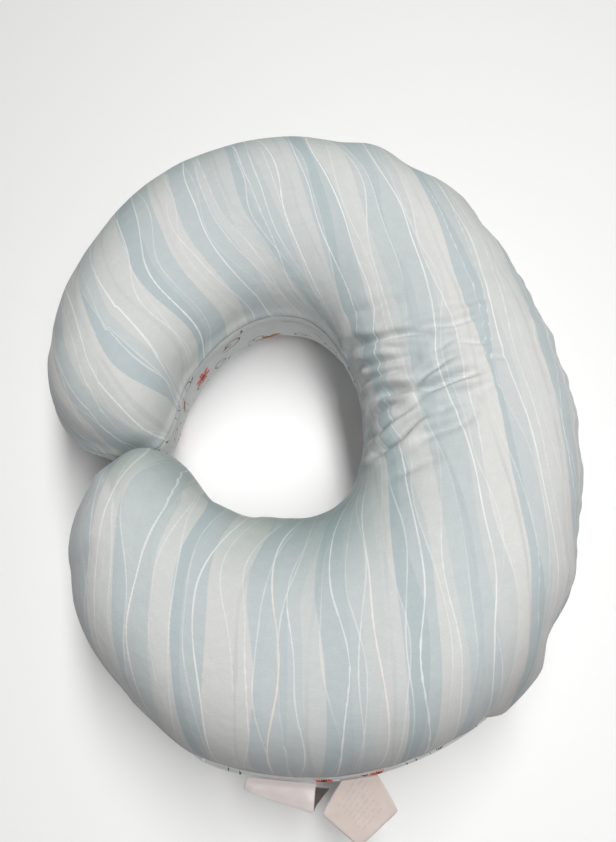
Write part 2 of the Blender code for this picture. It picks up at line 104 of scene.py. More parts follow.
def arm(side, n_st=N_ST, n_tip=N_TIP):
    """Loop round one arm: outer side, round its end, inner side."""
    pts = np.array(ARM[side])
    t = np.concatenate([[0], np.cumsum(np.linalg.norm(np.diff(pts, axis=0), axis=1))])
    s = np.linspace(0, t[-1], n_st)
    x, dx = spline(t, pts[:, 0], s, 0.0)
    y, dy = spline(t, pts[:, 1], s, float(side))
    w, _ = spline(t, HALF_WIDTH[side], s, 0.0)
    c = np.stack([x, y], 1)
    tan = unit(np.stack([dx, dy], 1))
    out = np.stack([tan[:, 1], -tan[:, 0]], 1) * side
    wo, ang = w.copy(), np.full(n_st, 90.0)
    if side < 0:
        d = c - ZIP_C
        b = (d * out).sum(1)
        arc = -b + np.sqrt(b * b - ((d * d).sum(1) - ZIP_R**2))
        p = c + out * arc[:, None]
        ang = np.degrees(np.arctan2(p[:, 1] - ZIP_C[1], p[:, 0] - ZIP_C[0]))
        near = np.clip(1 + np.minimum(ang - ZIP_FROM, ZIP_TO - ang) / 25.0, 0, 1)
        wo = w + (arc - w) * near * near * (3 - 2 * near)
    a = math.pi * np.arange(1, n_tip) / n_tip
    ca, sa = np.cos(a), np.sin(a)
    pw = np.where(ca > 0, TIP_OUTER, TIP_INNER)
    cs, sn = np.sign(ca) * np.abs(ca) ** pw, sa ** pw
    reach = TIP_LENGTH * sn + TIP_LEAN * sn * (1 - cs) / 2
    L = {"side": side, "c": c, "tan": tan, "out": out}
    L["base"] = np.concatenate([c, np.repeat(c[-1:], n_tip - 1, 0), c[::-1]])
    L["rim"] = np.concatenate([out * wo[:, None], out[-1] * w[-1] * cs[:, None] + tan[-1] * reach[:, None], (-out * w[:, None])[::-1]])
    L["kind"] = np.concatenate([np.zeros(n_st), np.arange(1, n_tip) / n_tip, np.ones(n_st)])
    L["st"] = np.concatenate([np.arange(n_st), np.full(n_tip - 1, n_st - 1), np.arange(n_st)[::-1]])
    band = np.zeros(n_st)
    if side < 0:
        band = smooth(np.minimum(ang - ZIP_FROM - 1.4, ZIP_TO + 0.2 - ang), 0.0, 2.6)
    L["band"] = np.concatenate([band, np.zeros(n_tip - 1 + n_st)])
    L["ang"] = np.concatenate([ang, np.full(n_tip - 1 + n_st, 90.0)])
    # the flat pattern of the cloth: the centre line with part of its bend
    th = np.unwrap(np.arctan2(tan[:, 1], tan[:, 0]))
    th = th[0] + (th - th[0]) * CUT[side]
    ft = np.stack([np.cos(th), np.sin(th)], 1)
    fn = np.stack([ft[:, 1], -ft[:, 0]], 1) * side
    ds = np.concatenate([[0], np.linalg.norm(np.diff(c, axis=0), axis=1)])
    flat = np.cumsum((ft + np.vstack([ft[:1], ft[:-1]])) / 2 * ds[:, None], 0) + c[0]
    d = unit(L["rim"])
    st = L["st"]
    L["flat"] = flat[st]
    L["flat_dir"] = ft[st] * (d * tan[st]).sum(1)[:, None] + fn[st] * (d * out[st]).sum(1)[:, None]
    rim = L["base"] + L["rim"]
    L["run"] = np.concatenate([[0], np.cumsum(np.linalg.norm(np.diff(rim, axis=0), axis=1))])
    return L


LOOPS = {s: arm(s) for s in (-1, 1)}
K = 2 * N_ST + N_TIP - 1


def ring_angles():
    """Angles from the seam (0) to the ridge (90), evenly spaced on the cloth."""
    f = np.radians(np.linspace(0, 90, 2000))
    x, z = 0.08 * np.cos(f) ** SIDE, 0.068 * np.sin(f) ** CROWN
    run = np.concatenate([[0], np.cumsum(np.hypot(np.diff(x), np.diff(z)))])
    want = np.concatenate([[0, 1.6 * MM, 4.2 * MM], np.linspace(8.0 * MM, run[-1], N_RING - 3)])
    return np.interp(want, run, f)


RINGS = ring_angles()


def band_axes(p):
    d = unit(np.asarray(p)[..., :2] - ZIP_C)
    z = np.zeros(d.shape[:-1] + (1,))
    across = np.concatenate([-d * math.sin(ZIP_TILT), z + math.cos(ZIP_TILT)], -1)
    normal = np.concatenate([d * math.cos(ZIP_TILT), z + math.sin(ZIP_TILT)], -1)
    return across, normal


def section(L, up):
    """Rows from the seam to the ridge: (ring, K, 3), in the drawing's frame."""
    rows = []
    for i, f in enumerate(RINGS):
        cx = abs(math.cos(f)) ** SIDE if i < len(RINGS) - 1 else 0.0
        z0 = (SEAM_OUT * (1 - L["kind"]) + SEAM_IN * L["kind"]) * cx + 0.5 * (SEAM_OUT + SEAM_IN) * (1 - cx)
        xy = L["base"] + L["rim"] * cx
        if up > 0:
            z = z0 + (HEIGHT - z0) * math.sin(f) ** CROWN
        else:
            z = np.maximum(0.0, z0 - (z0 + SINK) * math.sin(f) ** BELLY)
        rows.append(np.column_stack([xy, z]))
    P = np.stack(rows)
    # the panels' edges part at the zipper, and the rows near them make room
    across, _ = band_axes(P[0])
    for i in range(5):
        share = [1.0, 0.75, 0.42, 0.15, 0.04][i]
        P[i] += across * (up * BAND_HALF * share * L["band"])[:, None]
    return P


def press_ends(P, side):
    """The two arms' ends press softly against each other."""
    d = side * (P[..., 1] - TIP_PLANE)
    c = 3.0 * MM
    pressed = TIP_GAP + 0.5 * (d + np.sqrt(d * d + c * c)) - 0.25 * c * c / np.maximum(d, c)
    w = smooth(-P[..., 0], -0.03, 0.03) * (1 - smooth(d, 0.02, 0.05))
    P = P.copy()
    P[..., 1] += side * (np.maximum(pressed, TIP_GAP) - d) * w
    return P


# how far the photographed outline stands off the drawn one, in mm, at every
# fifth place round each arm's loop
OFFSETS = {
    -1: [1.5, 2, 2.5, 1, -1.5, -2.5, 1.5, -4.5, 1.0, 0, 0, 0, 0, 0, 0, -1.5, -6.5, -6, 1.5, 6, 6, -3, -6.5, -2.5, 0,
         2, 6, 7.5, 7, 6, 4.5, 3.5, 3.5, 3, 3, 3, 3, 3, 3, 3, 2.5, 2, 2, 1.5, 1, 1, 0.5],
    1: [1.5, 1.5, -2.5, -2, 1, 2, 4.5, 1, 7.5, 0.5, 0.5, -1.5, 0, 2, 3, 2, 1, 2, 3.5, 4, 1, 1, 3, 4, 1, -3.5,
        -6.5, -4, -2.5, -2, -2, -2.5, -3, -3, -4, -4.5, -4.5, -4.5, -3.5, -2.5, -1.5, -1, -0.5, 0, 0, 0.5, 0.5]}


def offset_outline(P, L):
    """Moves the seam line in or out; the ridge stays where it is."""
    off = np.interp(np.arange(K), np.arange(47) * 5, OFFSETS[L["side"]]) * MM
    off = np.convolve(np.pad(off, 2, mode="edge"), [0.1, 0.2, 0.4, 0.2, 0.1], "valid") * (1 - L["band"])
    d = unit(L["rim"])
    P = P.copy()
    for i, f in enumerate(RINGS):
        cx = abs(math.cos(f)) ** 1.4 if i < len(RINGS) - 1 else 0.0
        P[i][:, :2] += d * (off * cx)[:, None]
    return P


# ------------------------------------------------------------------- noise
def _hash(i, seed):
    n = (i[..., 0] * 374761393 + i[..., 1] * 668265263 + i[..., 2] * 2147483647 + seed * 1274126177) & 0xFFFFFFFF
    n = ((n ^ (n >> 13)) * 1274126177) & 0xFFFFFFFF
    n = ((n ^ (n >> 16)) * 2246822519) & 0xFFFFFFFF
    return ((n ^ (n >> 15)) & 0xFFFFFF) / float(0xFFFFFF) * 2 - 1


def noise(p, seed=0):
    """Smooth value noise in -1..1 of points (..., 3), one lattice cell per unit."""
    p = np.asarray(p, float)
    i = np.floor(p).astype(np.int64)
    f = p - i
    f = f * f * f * (f * (f * 6 - 15) + 10)
    total = 0.0
    for a in (0, 1):
        for b in (0, 1):
            for c in (0, 1):
                w = (f[..., 0] if a else 1 - f[..., 0]) * (f[..., 1] if b else 1 - f[..., 1]) * (f[..., 2] if c else 1 - f[..., 2])
                total = total + w * _hash(i + np.array([a, b, c]), seed)
    return total


def noise2(x, y, seed=0):
    return noise(np.stack([x, y, np.zeros_like(x) + 0.37], -1), seed)


# ------------------------------------------------------------- mesh helpers
def new_object(name, verts, faces, smooth_shade=True):
    me = bpy.data.meshes.new(name)
    me.from_pydata([tuple(v) for v in verts], [], [tuple(int(i) for i in f) for f in faces])
    me.validate()
    if smooth_shade:
        me.shade_smooth()
    ob = bpy.data.objects.new(name, me)
    bpy.context.scene.collection.objects.link(ob)
    return ob


def coords(me):
    a = np.zeros(len(me.vertices) * 3)
    me.vertices.foreach_get("co", a)
    return a.reshape(-1, 3)


def set_coords(me, co):
    me.vertices.foreach_set("co", np.asarray(co, float).ravel())
    me.update()


def normals(me):
    a = np.zeros(len(me.vertices) * 3)
    me.vertex_normals.foreach_get("vector", a)
    return a.reshape(-1, 3)


def put_attribute(me, name, values):
    values = np.asarray(values, float)
    kind = "FLOAT_VECTOR" if values.ndim == 2 else "FLOAT"
    at = me.attributes.get(name) or me.attributes.new(name, kind, "POINT")
    at.data.foreach_set("vector" if values.ndim == 2 else "value", values.ravel().astype(np.float32))


def get_attribute(me, name):
    at = me.attributes[name]
    dim = 3 if at.data_type == "FLOAT_VECTOR" else 1
    a = np.zeros(len(at.data) * dim, np.float32)
    at.data.foreach_get("vector" if dim == 3 else "value", a)
    return a.reshape(-1, 3).astype(float) if dim == 3 else a.astype(float)


def subdivided(ob, levels):
    mod = ob.modifiers.new("fine", "SUBSURF")
    mod.levels = mod.render_levels = levels
    dg = bpy.context.evaluated_depsgraph_get()
    dg.update()
    me = bpy.data.meshes.new_from_object(ob.evaluated_get(dg))
    name = ob.name
    bpy.data.objects.remove(ob)
    fine = bpy.data.objects.new(name, me)
    bpy.context.scene.collection.objects.link(fine)
    me.shade_smooth()
    return fine


# -------------------------------------------------------------- the slipcover
BASE = {}
for side in (-1, 1):
    for up in (1, -1):
        BASE[side, up] = press_ends(offset_outline(section(LOOPS[side], up), LOOPS[side]), side)


def closed_cover():
    """One welded grid of both panels and the zipper's band, for the simulation."""
    ids, verts = {}, []

    def add(p):
        verts.append(p)
        return len(verts) - 1

    R = len(RINGS)
    for side in (-1, 1):
        L = LOOPS[side]
        for up in (1, -1):
            P = BASE[side, up]
            g = np.zeros((R, K), int)
            for r in range(R):
                for k in range(K):
                    if (k == 0 or k == K - 1) and side == 1:
                        g[r, k] = ids[-1, up][r, k]
                    elif r == R - 1 and k > N_ST - 1:
                        g[r, k] = g[r, L["st"][k]]
                    elif r == 0 and up == -1 and L["band"][k] == 0:
                        g[r, k] = ids[side, 1][0, k]
                    else:
                        g[r, k] = add(P[r, k])
            ids[side, up] = g
    faces = []
    for (side, up), g in ids.items():
        for r in range(R - 1):
            for k in range(K - 1):
                q = [g[r, k], g[r, k + 1], g[r + 1, k + 1], g[r + 1, k]]
                if q[2] == q[3]:
                    q = q[:3]
                if len(set(q)) < 3:
                    continue
                faces.append(q if side * up > 0 else q[::-1])
    for k in range(K - 1):
        a, b = ids[-1, 1][0], ids[-1, -1][0]
        q = []
        for i in (a[k], a[k + 1], b[k + 1], b[k]):
            if i not in q:
                q.append(i)
        if len(q) > 2:
            faces.append(q)
    return ids, np.array(verts), faces


IDS, COVER, COVER_FACES = closed_cover()
COVER[:, :2] += SHIFT

# hollows and bulges of the stuffing and of the seams: place, radius, height
LUMPS = [
    ((0.0640, 0.2380, 0.112), 0.013, -3.0), ((0.0800, 0.2320, 0.118), 0.015, 2.5),
    ((0.1120, 0.2130, 0.115), 0.014, -2.5), ((0.1400, 0.1840, 0.112), 0.020, 2.5),
    ((0.1600, 0.1500, 0.110), 0.014, -2.0), ((0.1820, 0.0600, 0.100), 0.017, -1.8),
    ((0.1450, -0.1520, 0.095), 0.012, -3.0), ((0.1240, -0.1760, 0.100), 0.013, 2.5),
    ((0.0880, -0.1980, 0.100), 0.012, -2.5),
    ((0.0200, 0.1900, 0.150), 0.060, 1.5), ((-0.0900, 0.1500, 0.140), 0.050, -1.5),
    ((-0.1400, 0.0900, 0.130), 0.035, 1.5), ((0.0300, -0.1500, 0.150), 0.050, 1.5),
    ((-0.0700, -0.1300, 0.150), 0.045, -1.5), ((0.1350, -0.0700, 0.150), 0.030, -1.2),
    ((0.1500, 0.0950, 0.145), 0.030, -1.2),
]


def stuffing(co, nrm):
    d = np.zeros(len(co))
    for c, r, h in LUMPS:
        d += h * MM * np.exp(-((co - np.array(c)) ** 2).sum(1) / r**2)
    d += 1.1 * MM * noise(co / 0.055, 3) + 0.5 * MM * noise(co / 0.024, 5)
    return co + nrm * d[:, None]


# ------------------------------------------------- folds where cloth gathers
# each: points in plan (x, y), half width and depth in mm
CREASES = [
    ([(0.034, 0.066), (0.052, 0.056), (0.071, 0.051), (0.096, 0.042)], 2.2, 2.4),
    ([(0.040, 0.056), (0.058, 0.047), (0.074, 0.040)], 1.8, 1.0),
    ([(0.0965, 0.048), (0.111, 0.050), (0.127, 0.052)], 2.0, 1.5),
    ([(0.078, 0.054), (0.090, 0.052), (0.103, 0.054)], 2.4, 1.7),
    ([(0.106, 0.036), (0.118, 0.033), (0.128, 0.029)], 2.0, 1.2),
    ([(0.0443, 0.0196), (0.060, 0.014), (0.0695, 0.013), (0.085, 0.020), (0.098, 0.025), (0.1095, 0.024)], 2.4, 2.2),
    ([(0.0421, 0.0111), (0.0523, 0.0135), (0.0676, 0.0106), (0.0818, 0.0075), (0.100, 0.008), (0.1219, 0.0098)], 2.2, 2.0),
    ([(0.074, 0.0030), (0.097, 0.0090), (0.125, 0.0130)], 3.0, 2.4),
    ([(0.042, 0.004), (0.052, 0.006), (0.058, 0.005)], 2.0, 1.6),
    ([(0.080, -0.012), (0.098, -0.009), (0.116, -0.010)], 3.4, 1.8),
    ([(0.038, -0.0255), (0.051, -0.0232), (0.062, -0.017), (0.078, -0.010)], 2.6, 3.4),
    ([(0.066, -0.028), (0.078, -0.026), (0.098, -0.021), (0.112, -0.012)], 3.2, 1.8),
    ([(0.046, -0.048), (0.062, -0.045), (0.080, -0.041)], 3.2, 1.1),
    ([(0.040, 0.082), (0.058, 0.078), (0.080, 0.080)], 3.4, 0.9),
    ([(0.100, 0.066), (0.120, 0.066), (0.140, 0.070)], 3.0, 0.9),
    ([(0.036, 0.050), (0.050, 0.040), (0.066, 0.034), (0.084, 0.032)], 2.0, 1.3),
    ([(0.037, 0.036), (0.052, 0.030), (0.070, 0.026)], 1.8, 1.2),
    ([(0.088, 0.030), (0.104, 0.040), (0.118, 0.042)], 2.2, 1.3),
    ([(0.084, -0.001), (0.104, -0.002), (0.130, 0.002)], 2.6, 1.1),
    ([(0.040, -0.012), (0.056, -0.008), (0.072, -0.002)], 2.0, 1.4),
    ([(0.110, 0.018), (0.124, 0.020), (0.142, 0.018)], 2.6, 1.1),
]


def polyline_distance(xy, pts):
    """Distance to a polyline and the share of its length at the nearest place."""
    pts = np.array(pts, float)
    seg = np.diff(pts, axis=0)
    ln = np.linalg.norm(seg, axis=1)
    run = np.concatenate([[0], np.cumsum(ln)])
    best, where = np.full(len(xy), 1e9), np.zeros(len(xy))
    for a, v, l, s in zip(pts[:-1], seg, ln, run):
        t = np.clip(((xy - a) @ v) / (l * l), 0, 1)
        d = np.linalg.norm(xy - (a + t[:, None] * v), axis=1)
        hit = d < best
        best[hit], where[hit] = d[hit], (s + t * l)[hit]
    return best, where / run[-1]


def rounded_path(pts, n=24):
    pts = np.array(pts, float)
    t = np.concatenate([[0], np.cumsum(np.linalg.norm(np.diff(pts, axis=0), axis=1))])
    tn = np.linspace(0, t[-1], n)
    if len(pts) < 3:
        return np.stack([np.interp(tn, t, pts[:, i]) for i in range(2)], 1)
    return np.stack([spline(t, pts[:, i], tn, (pts[1, i] - pts[0, i]) / (t[1] - t[0]))[0] for i in range(2)], 1)


def creases(co, nrm, up):
    xy = co[:, :2] + 1.2 * MM * np.stack([noise(co / 0.011, 21), noise(co / 0.011, 22)], 1)
    total = np.zeros(len(co))
    on = smooth(co[:, 2], 0.088, 0.11) if up > 0 else smooth(-co[:, 2], -0.07, -0.04) * 0.6
    for pts, w, depth in CREASES:
        d, t = polyline_distance(xy, rounded_path(pts))
        w, depth = w * 1.18 * MM, depth * 1.75
        fade = smooth(t, 0.0, 0.12) * (1 - smooth(t, 0.72, 1.0)) if depth > 0 else 1.0
        fade = np.where(t < 0.12, np.maximum(fade, 0.55), fade)
        fade = fade * (1 - smooth(d, 3 * w, 6 * w))
        total += fade * depth * MM * (-np.exp(-(d / w) ** 2) + 0.42 * np.exp(-((d - 2.3 * w) / (1.25 * w)) ** 2))
    return total * on


def pucker(run, e, seed, length):
    """Small folds that run in from a gathered edge, -1..1."""
    a = noise2(run / length + 0.35 * noise2(run / 0.05, e / 0.03, seed + 9), e / 0.055, seed)
    b = noise2(run / (0.55 * length), e / 0.04, seed + 1)
    return a + 0.45 * b


# ------------------------------------------------------------ stripe pattern
# blue bands of the front print: edges on the near arm and on the far arm (m)
BANDS = [
    (-0.245, -0.235), (-0.226, -0.214), (-0.200, -0.198), (-0.165, -0.178),
    (-0.1445, -0.1565), (-0.121, -0.141), (-0.107, -0.115), (-0.0875, -0.086),
    (-0.060, -0.0695), (-0.036, -0.046), (-0.017, -0.017), (0.013, 0.001),
    (0.0355, 0.030), (0.055, 0.050), (0.071, 0.069), (0.094, 0.099),
    (0.121, 0.120), (0.1375, 0.1405), (0.168, 0.172), (0.182, 0.188), (0.215, 0.215), (0.235, 0.235),
]
OVERLAYS = [
    (-0.232, -0.226), (-0.214, -0.206), (-0.190, -0.186), (-0.176, -0.165),
    (-0.156, -0.150), (-0.136, -0.124), (-0.098, -0.102), (-0.079, -0.077),
    (-0.049, -0.056), (-0.025, -0.032), (0.000, -0.008), (0.022, 0.018),
    (0.046, 0.042), (0.063, 0.060), (0.083, 0.084), (0.104, 0.108),
    (0.128, 0.130), (0.148, 0.150), (0.175, 0.176), (0.200, 0.200), (0.225, 0.225), (0.24, 0.24),
]
LINES_A = [(-0.225, -0.215), (-0.185, -0.190), (-0.1565, -0.171), (-0.1314, -0.141), (-0.0875, -0.104), (-0.047, -0.0556), (-0.005, -0.0125),
           (0.0186, 0.009), (0.0486, 0.0505), (0.094, 0.094), (0.141, 0.137), (0.185, 0.185), (0.22, 0.22)]
LINES_B = [(-0.205, -0.200), (-0.170, -0.180), (-0.1408, -0.150), (-0.1096, -0.118), (-0.062, -0.073), (-0.032, -0.043), (0.010, -0.001), (0.039, 0.034),
           (0.069, 0.067), (0.105, 0.103), (0.149, 0.147), (0.170, 0.170), (0.205, 0.205)]
LINES_C = [(-0.215, -0.21), (-0.176, -0.160), (-0.122, -0.128), (-0.0658, -0.081), (-0.022, -0.026), (0.028, 0.022), (0.0815, 0.0785), (0.117, 0.112),
           (0.160, 0.160), (0.195, 0.195)]


LINES_D = [(x, x) for x in (-0.228, -0.196, -0.168, -0.149, -0.115, -0.096, -0.073, -0.052, -0.038, -0.012, 0.006, 0.033,
                            0.059, 0.076, 0.099, 0.124, 0.133, 0.155, 0.178, 0.211)]


def stripe_coordinate(x, y, table, seed, swing, wave):
    """A coordinate that is a whole number on each line of the table.

    Every line wanders on its own, by swing metres over about wave metres.
    Also gives the local distance from one whole number to the next.
    """
    n = len(table)
    mixed = smooth(y, -0.10, 0.10)
    near, far = np.array(table).T
    pos = near[:, None] * (1 - mixed) + far[:, None] * mixed
    for i in range(n):
        rng = np.random.RandomState(seed * 100 + i)
        p = rng.rand(6) * 2 * math.pi
        s = swing * (0.7 + 0.6 * rng.rand())
        lam = wave * (0.8 + 0.5 * rng.rand())
        pos[i] += s * (0.62 * np.sin(2 * math.pi * y / lam + p[0]) + 0.30 * np.sin(2 * math.pi * y / (0.53 * lam) + p[1])
                       + 0.05 * np.sin(2 * math.pi * y / (0.30 * lam) + p[2]))
    for i in range(1, n):
        pos[i] = np.maximum(pos[i], pos[i - 1] + 3.0 * MM)
    p = np.zeros_like(x)
    gap = np.full_like(x, 0.02)
    lo = x < pos[0]
    p[lo] = -(pos[0] - x)[lo] / 0.03
    for i in range(n - 1):
        m = (x >= pos[i]) & (x < pos[i + 1])
        p[m] = i + ((x - pos[i]) / (pos[i + 1] - pos[i]))[m]
        gap[m] = (pos[i + 1] - pos[i])[m]
    hi = x >= pos[-1]
    p[hi] = n - 1 + ((x - pos[-1]) / 0.03)[hi]
    return p, gap


def drawn(x, u_in, kind, far):
    """Where the print lies once the cloth is stretched round the inner seam.

    u_in is the distance from the seam, and kind is 1 along the inner side."""
    near_seam = (1 - smooth(u_in, -0.01, 0.105)) * smooth(kind, 0.25, 0.95)
    amount = np.where(far, np.interp(x, [-0.16, -0.12, -0.03, 0.0, 0.03], [0.026, 0.038, 0.040, 0.020, 0.0]),
                      np.interp(x, [-0.17, -0.13, -0.03, 0.0, 0.02], [0.020, 0.034, 0.034, 0.015, 0.0]))
    return x - amount * near_seam


# ------------------------------------------------------------ build a panel
R = len(RINGS)
HEMS = [(6.0 * MM, 0.9 * MM), (2.6 * MM, 0.55 * MM), (0.9 * MM, 0.15 * MM)]   # depth, lift


def build_panel(up, cover, tag):
    """One printed panel with its turned-in edge, as a single fine mesh."""
    ids, verts, at = {}, [], {"fab": [], "seam": [], "zone": [], "depth": []}
    n_h = len(HEMS)
    for side in (-1, 1):
        L = LOOPS[side]
        P = cover[IDS[side, up]]                      # (R, K, 3)
        seg = np.linalg.norm(np.diff(BASE[side, up], axis=0), axis=2)
        u = np.concatenate([np.cumsum(seg[::-1], 0)[::-1], np.zeros((1, K))], 0)
        edge = np.concatenate([np.zeros((1, K)), np.cumsum(seg, 0)], 0)
        inward = np.concatenate([-unit(L["rim"]), np.zeros((K, 1))], 1)
        _, bn = band_axes(P[0, :, :2] - SHIFT)
        inward = unit(inward * (1 - L["band"])[:, None] - bn * L["band"][:, None])
        lift = np.tile(np.array([0, 0, float(up)]), (K, 1))
        across, _ = band_axes(P[0, :, :2] - SHIFT)
        lift = unit(lift * (1 - L["band"])[:, None] + across * up * L["band"][:, None])
        rows = [P[0] + inward * d + lift * h for d, h in HEMS] + list(P)
        us = [u[0] + d for d, _ in HEMS] + list(u)
        es = [np.full(K, -d) for d, _ in HEMS] + list(edge)
        g = np.zeros((R + n_h, K), int)
        for r in range(R + n_h):
            for k in range(K):
                if (k == 0 or k == K - 1) and side == 1:
                    g[r, k] = ids[-1][r, k]
                    continue
                if r == R + n_h - 1 and k > N_ST - 1:
                    g[r, k] = g[r, L["st"][k]]
                    continue
                g[r, k] = len(verts)
                verts.append(rows[r][k])
                f = L["flat"][k] + L["flat_dir"][k] * us[r][k]
                at["fab"].append((f[0], f[1], float(side)))
                at["seam"].append((es[r][k], side * L["run"][k], L["kind"][k]))
                at["zone"].append((L["band"][k], L["ang"][k], us[r][k]))
                # painted shade: the 'depth' weights mark cloth facing -Y on the near arm's outer side (grey) and cloth
                # facing +Y on the far arm and the inner side (teal-tinted); the print is darkened there
                facing = L["rim"][k][1] / np.linalg.norm(L["rim"][k])
                at["depth"].append((max(0.0, -facing) * (side < 0), max(0.0, facing * (1 if side > 0 or L["kind"][k] > 0.5 else 0)), 0.0))
        ids[side] = g
    faces = []
    for side, g in ids.items():
        for r in range(g.shape[0] - 1):
            for k in range(K - 1):
                q = [g[r, k], g[r, k + 1], g[r + 1, k + 1], g[r + 1, k]]
                if q[2] == q[3]:
                    q = q[:3]
                if len(set(q)) < 3:
                    continue
                faces.append(q if side * up > 0 else q[::-1])
    ob = new_object("panel_" + tag, verts, faces)
    for n, v in at.items():
        put_attribute(ob.data, n, np.array(v))
    ob = subdivided(ob, 1)
    return ob


def finish_panel(ob, up):
    me = ob.data
    co, nrm = coords(me), normals(me)
    seam, zone, fab = (get_attribute(me, n) for n in ("seam", "zone", "fab"))
    e, run, kind = seam.T
    band = zone[:, 0]
    ep = np.maximum(e, 0)
    x, y = co[:, 0], co[:, 1]
    plane = SHIFT[1]
    # how tightly each stretch of the seam gathers the cloth
    inner_back = kind * np.exp(-((y - plane) / 0.075) ** 2) * smooth(x, 0.0, 0.04)
    outer_right = (1 - kind) * smooth(x, 0.10, 0.17)
    gather = 0.40 + 1.3 * inner_back + 1.5 * outer_right + 0.8 * band
    reach = 0.010 + 0.012 * outer_right + 0.018 * inner_back + 0.004 * band
    peak = (ep / reach) * np.exp(1 - ep / reach)
    side = np.sign(run)
    d = pucker(run, ep, 31 if up > 0 else 61, 0.0125) * 1.0 * MM * gather * peak
    # long soft pulls out from the seam
    d += 0.6 * MM * noise2(run / 0.028, ep / 0.20, 44 + up) * smooth(ep, 0.0, 0.02) * np.exp(-ep / 0.07) * (0.5 + gather)
    d += creases(co, nrm, up)
    # the seam lies in a shallow groove, the cloth standing proud of it
    groove = -0.45 * MM * np.exp(-(ep / 2.6 / MM) ** 2) * (1 - band)
    d = d * (1 - band * np.exp(-(ep / 0.006) ** 2)) + groove
    d += 0.10 * MM * noise(co / 0.006, 77) * smooth(ep, 0.0, 0.01)
    if up < 0:
        d *= smooth(co[:, 2], 0.002, 0.02) * 0.85 + 0.15
    co = co + nrm * d[:, None]
    # beside the zipper the cloth is drawn in, but a lobe hangs over its closed
    # end, with a sharp pucker where the lobe starts
    ang = zone[:, 1]
    arm_side = (fab[:, 2] < 0) & (kind < 0.5)
    radial = unit(np.stack([x, y], 1) - SHIFT - ZIP_C)
    if up > 0:
        pull = -1.15 * MM * band * np.exp(-(ep / 0.013) ** 2)
        lobe = smooth(ang, -65.5, -60.5) * (1 - smooth(ang, -50.0, -43.0))
        pull = np.where(arm_side, pull * (1 - lobe) + 6.0 * MM * lobe * np.exp(-(ep / 0.017) ** 2)
                        - 3.2 * MM * np.exp(-((ang + 65.6) / 1.2) ** 2) * np.exp(-(ep / 0.011) ** 2), 0.0)
    else:
        pull = np.where(arm_side, -0.9 * MM * band * np.exp(-(ep / 0.012) ** 2), 0.0)
    co[:, :2] += radial * pull[:, None]
    # the seam itself wanders a little, the same for both panels
    w = np.exp(-(np.abs(e) / 7.0 / MM) ** 2)
    co[:, 2] += w * (0.8 * MM * noise2(run / 0.035, run * 0, 91) + 0.35 * MM * noise2(run / 0.012, run * 0, 92))
    co[:, 2] = np.maximum(co[:, 2], 0.15 * MM)
    set_coords(me, co)
    # print
    far = fab[:, 2] > 0
    jog = 0.8 * MM * noise2(y / 0.007, x / 0.03, 55) * np.exp(-(((x - 0.075) / 0.05) ** 2 + ((y - 0.015) / 0.045) ** 2))
    fx = drawn(fab[:, 0], ep, kind, far) + jog
    fy = fab[:, 1]
    b, gb = stripe_coordinate(fx, fy, BANDS, 1, 4.0 * MM, 0.24)
    o, go = stripe_coordinate(fx, fy, OVERLAYS, 2, 5.5 * MM, 0.20)
    la, ga = stripe_coordinate(fx, fy, LINES_A, 3, 6.0 * MM, 0.21)
    lb, gbb = stripe_coordinate(fx, fy, LINES_B, 4, 6.0 * MM, 0.18)
    lc, gc = stripe_coordinate(fx, fy, LINES_C, 5, 4.6 * MM, 0.22)
    ld, gd = stripe_coordinate(fx, fy, LINES_D, 6, 7.0 * MM, 0.19)
    put_attribute(me, "bands", np.stack([b, o, fy], 1))
    put_attribute(me, "lines", np.stack([la, lb, lc], 1))
    put_attribute(me, "gaps", np.stack([ga, gbb, gc], 1))
    put_attribute(me, "fourth", np.stack([ld, gd, np.clip(kind, 0, 1)], 1))
    # painted shade: the 'depth' weights fade out away from the seams, so the painted shade lies along the seams on
    # those sides
    depth = get_attribute(me, "depth")
    depth[:, 0] *= (1 - smooth(ep, 0.0, 0.092)) * (1 - kind)
    depth[:, 1] *= 1 - smooth(ep, 0.022, np.where(kind > 0.5, 0.108, 0.112))
    put_attribute(me, "depth", np.clip(depth, 0, 1))
    put_attribute(me, "cloth", np.stack([fx, fy, e], 1))
    for n in ("fab", "zone", "seam"):
        me.attributes.remove(me.attributes[n])
    me.update()


